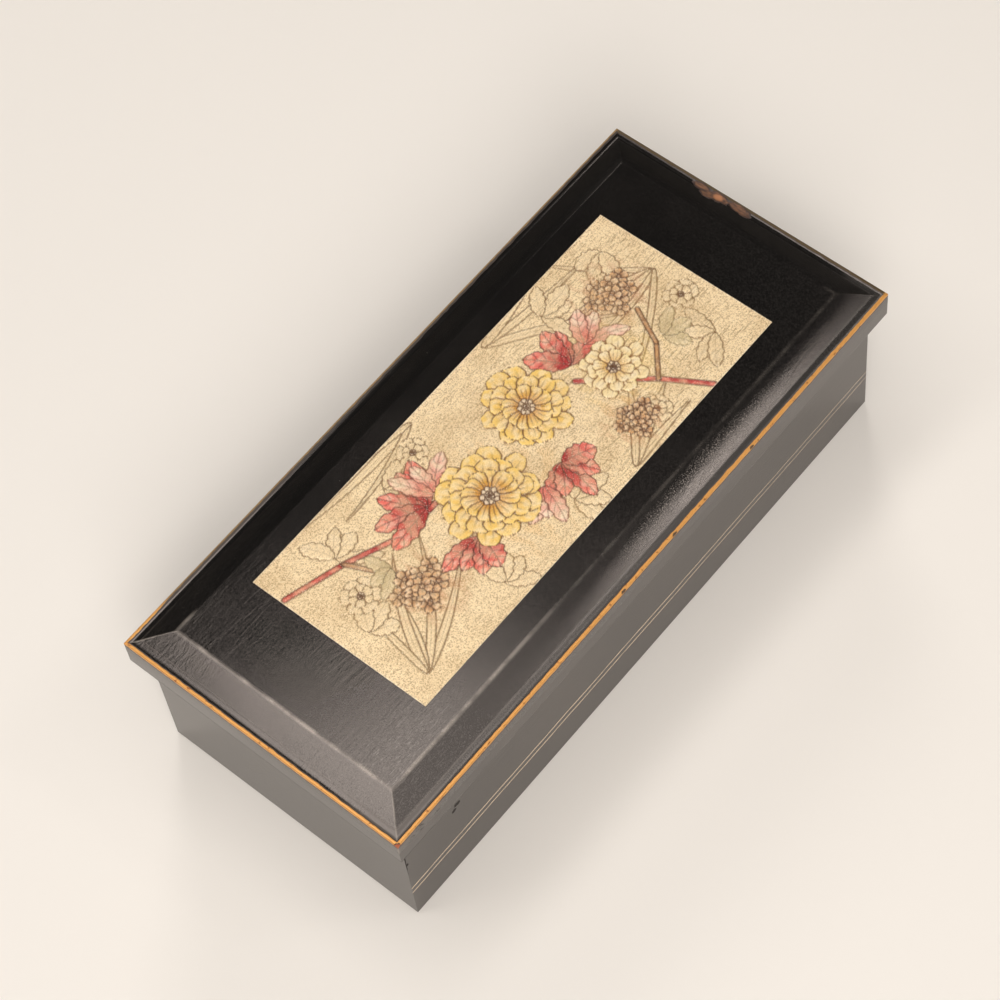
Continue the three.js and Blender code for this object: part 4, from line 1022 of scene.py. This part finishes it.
def velvet_cushion(name, node, stuffing, finish, crease):
    """Puts a stuffed shape in a node's place: flat below, a little creased, and no wider
    than the room that it has."""
    low, high = box_of(node)
    middle = (low + high) / 2
    bm = stuffing.copy()
    for vert in bm.verts:
        place = vert.co + Vector((middle.x, middle.y, low.z))
        drawn = noise.noise(place * 0.35) * crease + noise.noise(place * 1.1) * crease * 0.4
        place += Vector((vert.normal.x, vert.normal.y, vert.normal.z)) * drawn
        vert.co = Vector((min(max(place.x, low.x), high.x), min(max(place.y, low.y), high.y),
                          max(place.z, low.z + 0.05)))
    piece = finish_piece(bm, name, "case", finish, [node], crisp=180)
    smooth = piece.modifiers.new("subdivision", "SUBSURF")
    smooth.levels = smooth.render_levels = 1
    return piece


def cylinder_pins(finish):
    """The tune: short wires that stand on the cylinder in rows, two under each comb tooth."""
    low, high = box_of("cylinder")
    rows, pin_length, sunk = 36, 0.75, 0.1
    radius = (high.x - low.x) / 2
    rng = random.Random(11)
    bm = bmesh.new()
    for row in range(rows):
        y = low.y + (row + 0.5) * (high.y - low.y) / rows
        angle = rng.uniform(0, 0.5)
        while angle < 2 * pi - 0.2:
            place = (Matrix.Translation(((low.x + high.x) / 2, y, (low.z + high.z) / 2))
                     @ Matrix.Rotation(angle, 4, "Y")
                     @ Matrix.Translation((0, 0, radius + pin_length / 2 - sunk)))
            bmesh.ops.create_cone(bm, cap_ends=True, segments=5, radius1=0.15, radius2=0.11,
                                  depth=pin_length, matrix=place)
            angle += rng.uniform(0.28, 1.2)
    return finish_piece(bm, "cylinder_pins", "cylinder", finish)


def threaded_worm(finish):
    """The governor's worm: a shaft with a helical thread round its middle."""
    low, high = box_of("governor_worm")
    wheel_low, wheel_high = box_of("governor_wheel")
    middle, radius = (low + high) / 2, (high.x - low.x) / 2
    shaft, pitch, turns, sides = 0.5, 1.0, 7, 24
    start = (wheel_low.z + wheel_high.z) / 2 - turns * pitch / 2
    bm = bmesh.new()
    for r, bottom, top in ((shaft, low.z, high.z), (radius - 0.35, start, start + turns * pitch)):
        halfway = Matrix.Translation((0, 0, (bottom + top) / 2))
        bmesh.ops.create_cone(bm, cap_ends=True, segments=sides, radius1=r, radius2=r,
                              depth=top - bottom, matrix=halfway)
    outline = [(radius - 0.45, 0.05), (radius - 0.08, 0.32), (radius, 0.4), (radius - 0.08, 0.48),
               (radius - 0.45, 0.75)]
    ring = [bm.verts.new((r, 0, start + z * pitch)) for r, z in outline]
    first = bm.faces.new(ring)
    bmesh.ops.spin(bm, geom=[first], cent=(0, 0, 0), axis=(0, 0, 1),
                   dvec=(0, 0, pitch / sides), angle=2 * pi * (turns - 0.8),
                   steps=round(sides * (turns - 0.8)))
    bmesh.ops.translate(bm, vec=(middle.x, middle.y, 0), verts=bm.verts)
    return finish_piece(bm, "threaded_governor_worm", "governor_fan", finish,
                        ["governor_worm"])


# Floor and light, in metres

lamp_height = 1.5


def pale_floor():
    """A pale floor that curves up into a darker wall all round."""
    paper = Finish("pale paper", (240, 238, 234), 0.9, Specular_IOR_Level=0.1)
    height = paper.axes()[2]
    paper.set("Base Color", paper.mix(paper.step(height, 20, 300), (240, 238, 234), (92, 90, 87)))
    bm = bmesh.new()
    outline = [(0, 0), (0.3, 0), (1.1, 0), (1.3, 0.04), (1.45, 0.14), (1.55, 0.3), (1.58, 0.55)]
    ring = [bm.verts.new((radius, 0, height)) for radius, height in outline]
    edges = [bm.edges.new(pair) for pair in zip(ring, ring[1:])]
    bmesh.ops.spin(bm, geom=ring + edges, axis=(0, 0, 1), cent=(0, 0, 0), angle=2 * pi,
                   steps=96, use_merge=True)
    bmesh.ops.remove_doubles(bm, verts=bm.verts, dist=1e-5)
    bmesh.ops.recalc_face_normals(bm, faces=bm.faces)
    sharpen(bm, 60)
    floor = object_of(bm, "floor")
    floor.data.materials.append(paper.material)


def soft_light():
    """Softboxes above the box, placed for what the lacquer mirrors, and a dim room."""
    lamp("left_softbox", (-0.42, 0.51), (1.7, 0.4), 3.8, turn=-8)
    lamp("front_softbox", (-0.35, -0.45), (1.68, 1.4), 1.3)
    lamp("small_front_softbox", (0.73, -0.98), (0.22, 0.5), 6)
    lamp("far_right_softbox", (1.75, 1.75), (0.8, 0.8), 7.6, aim=(0, 0, 0))
    lamp("camera_side_softbox", (-1.1, -1.2), (1.1, 1.1), 7.0, aim=(0, 0, 0))
    world = bpy.data.worlds.new("room")
    bpy.context.scene.world = world
    world.use_nodes = True
    world.node_tree.nodes["Background"].inputs[0].default_value = linear((255, 247, 239))
    world.node_tree.nodes["Background"].inputs[1].default_value = 0.05


def lamp(name, place, size, brightness, turn=0, aim=None):
    """A softbox above the floor, as bright as brightness where it is seen, facing down or
    at a point."""
    light = bpy.data.lights.new(name, "AREA")
    light.shape = "RECTANGLE"
    light.size, light.size_y = size
    light.energy = brightness * pi * size[0] * size[1]
    light.color = (1.0, 0.935, 0.875)
    made = in_scene(bpy.data.objects.new(name, light))
    made.location = (*place, lamp_height)
    made.rotation_euler = (0, 0, radians(turn))
    if aim:
        made.rotation_euler = (Vector(aim) - made.location).to_track_quat("-Z", "Y").to_euler()


# Dressing the box

def dress():
    """Dresses the whole box: new pieces first, then finishes for the nodes that stay."""
    moulded_lid(lid_lacquer())
    frame_of("lid", lid_half, rail_section(), 0.35, "lid", rail_lacquer())
    frame_of("case", wall_half, wall_section(), 0.9, "case", lacquer("black lacquer"),
             striped_lacquer())
    picture_panel(embossed_foil())
    brass = metal("turned brass", (214, 176, 98), (142, 106, 54), 0.26, (1, 0.1, 1))
    steel = metal("ground steel", (190, 190, 190), (120, 112, 102), 0.3, (0.1, 1, 1))
    zinc = metal("cast zinc", (168, 168, 168), (128, 126, 122), 0.46, pits=0.05)
    finishes = {"black_board": base_wood(), "mirror": mirror_glass(),
                "velvet": velvet("wine velvet", (96, 12, 24), (138, 26, 40)),
                "brass": brass, "steel": steel, "zinc": zinc,
                "clear_cover": clear_sheet(), "nylon": moulded_nylon()}
    cloth = finishes["velvet"]
    for node in ("lining_front", "lining_back", "lining_left"):
        wrapped_board(node, cloth)
    stuffing = puffed(size_of("ring_roll_1"), top_round=4.6, cap=0.8)
    for number in (1, 2, 3):
        velvet_cushion(f"velvet_ring_roll_{number}", f"ring_roll_{number}", stuffing, cloth, 0.16)
    stuffing = puffed(size_of("floor_pad"), top_round=1.6, cap=0.8)
    velvet_cushion("velvet_floor_pad", "floor_pad", stuffing, cloth, 0.3)
    cylinder_pins(steel)
    threaded_worm(steel)
    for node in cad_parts.values():
        finish = finishes.get(node.data.materials[0].name)
        if finish:
            node.data.materials[0] = finish.material


dress()
pale_floor()
soft_light()
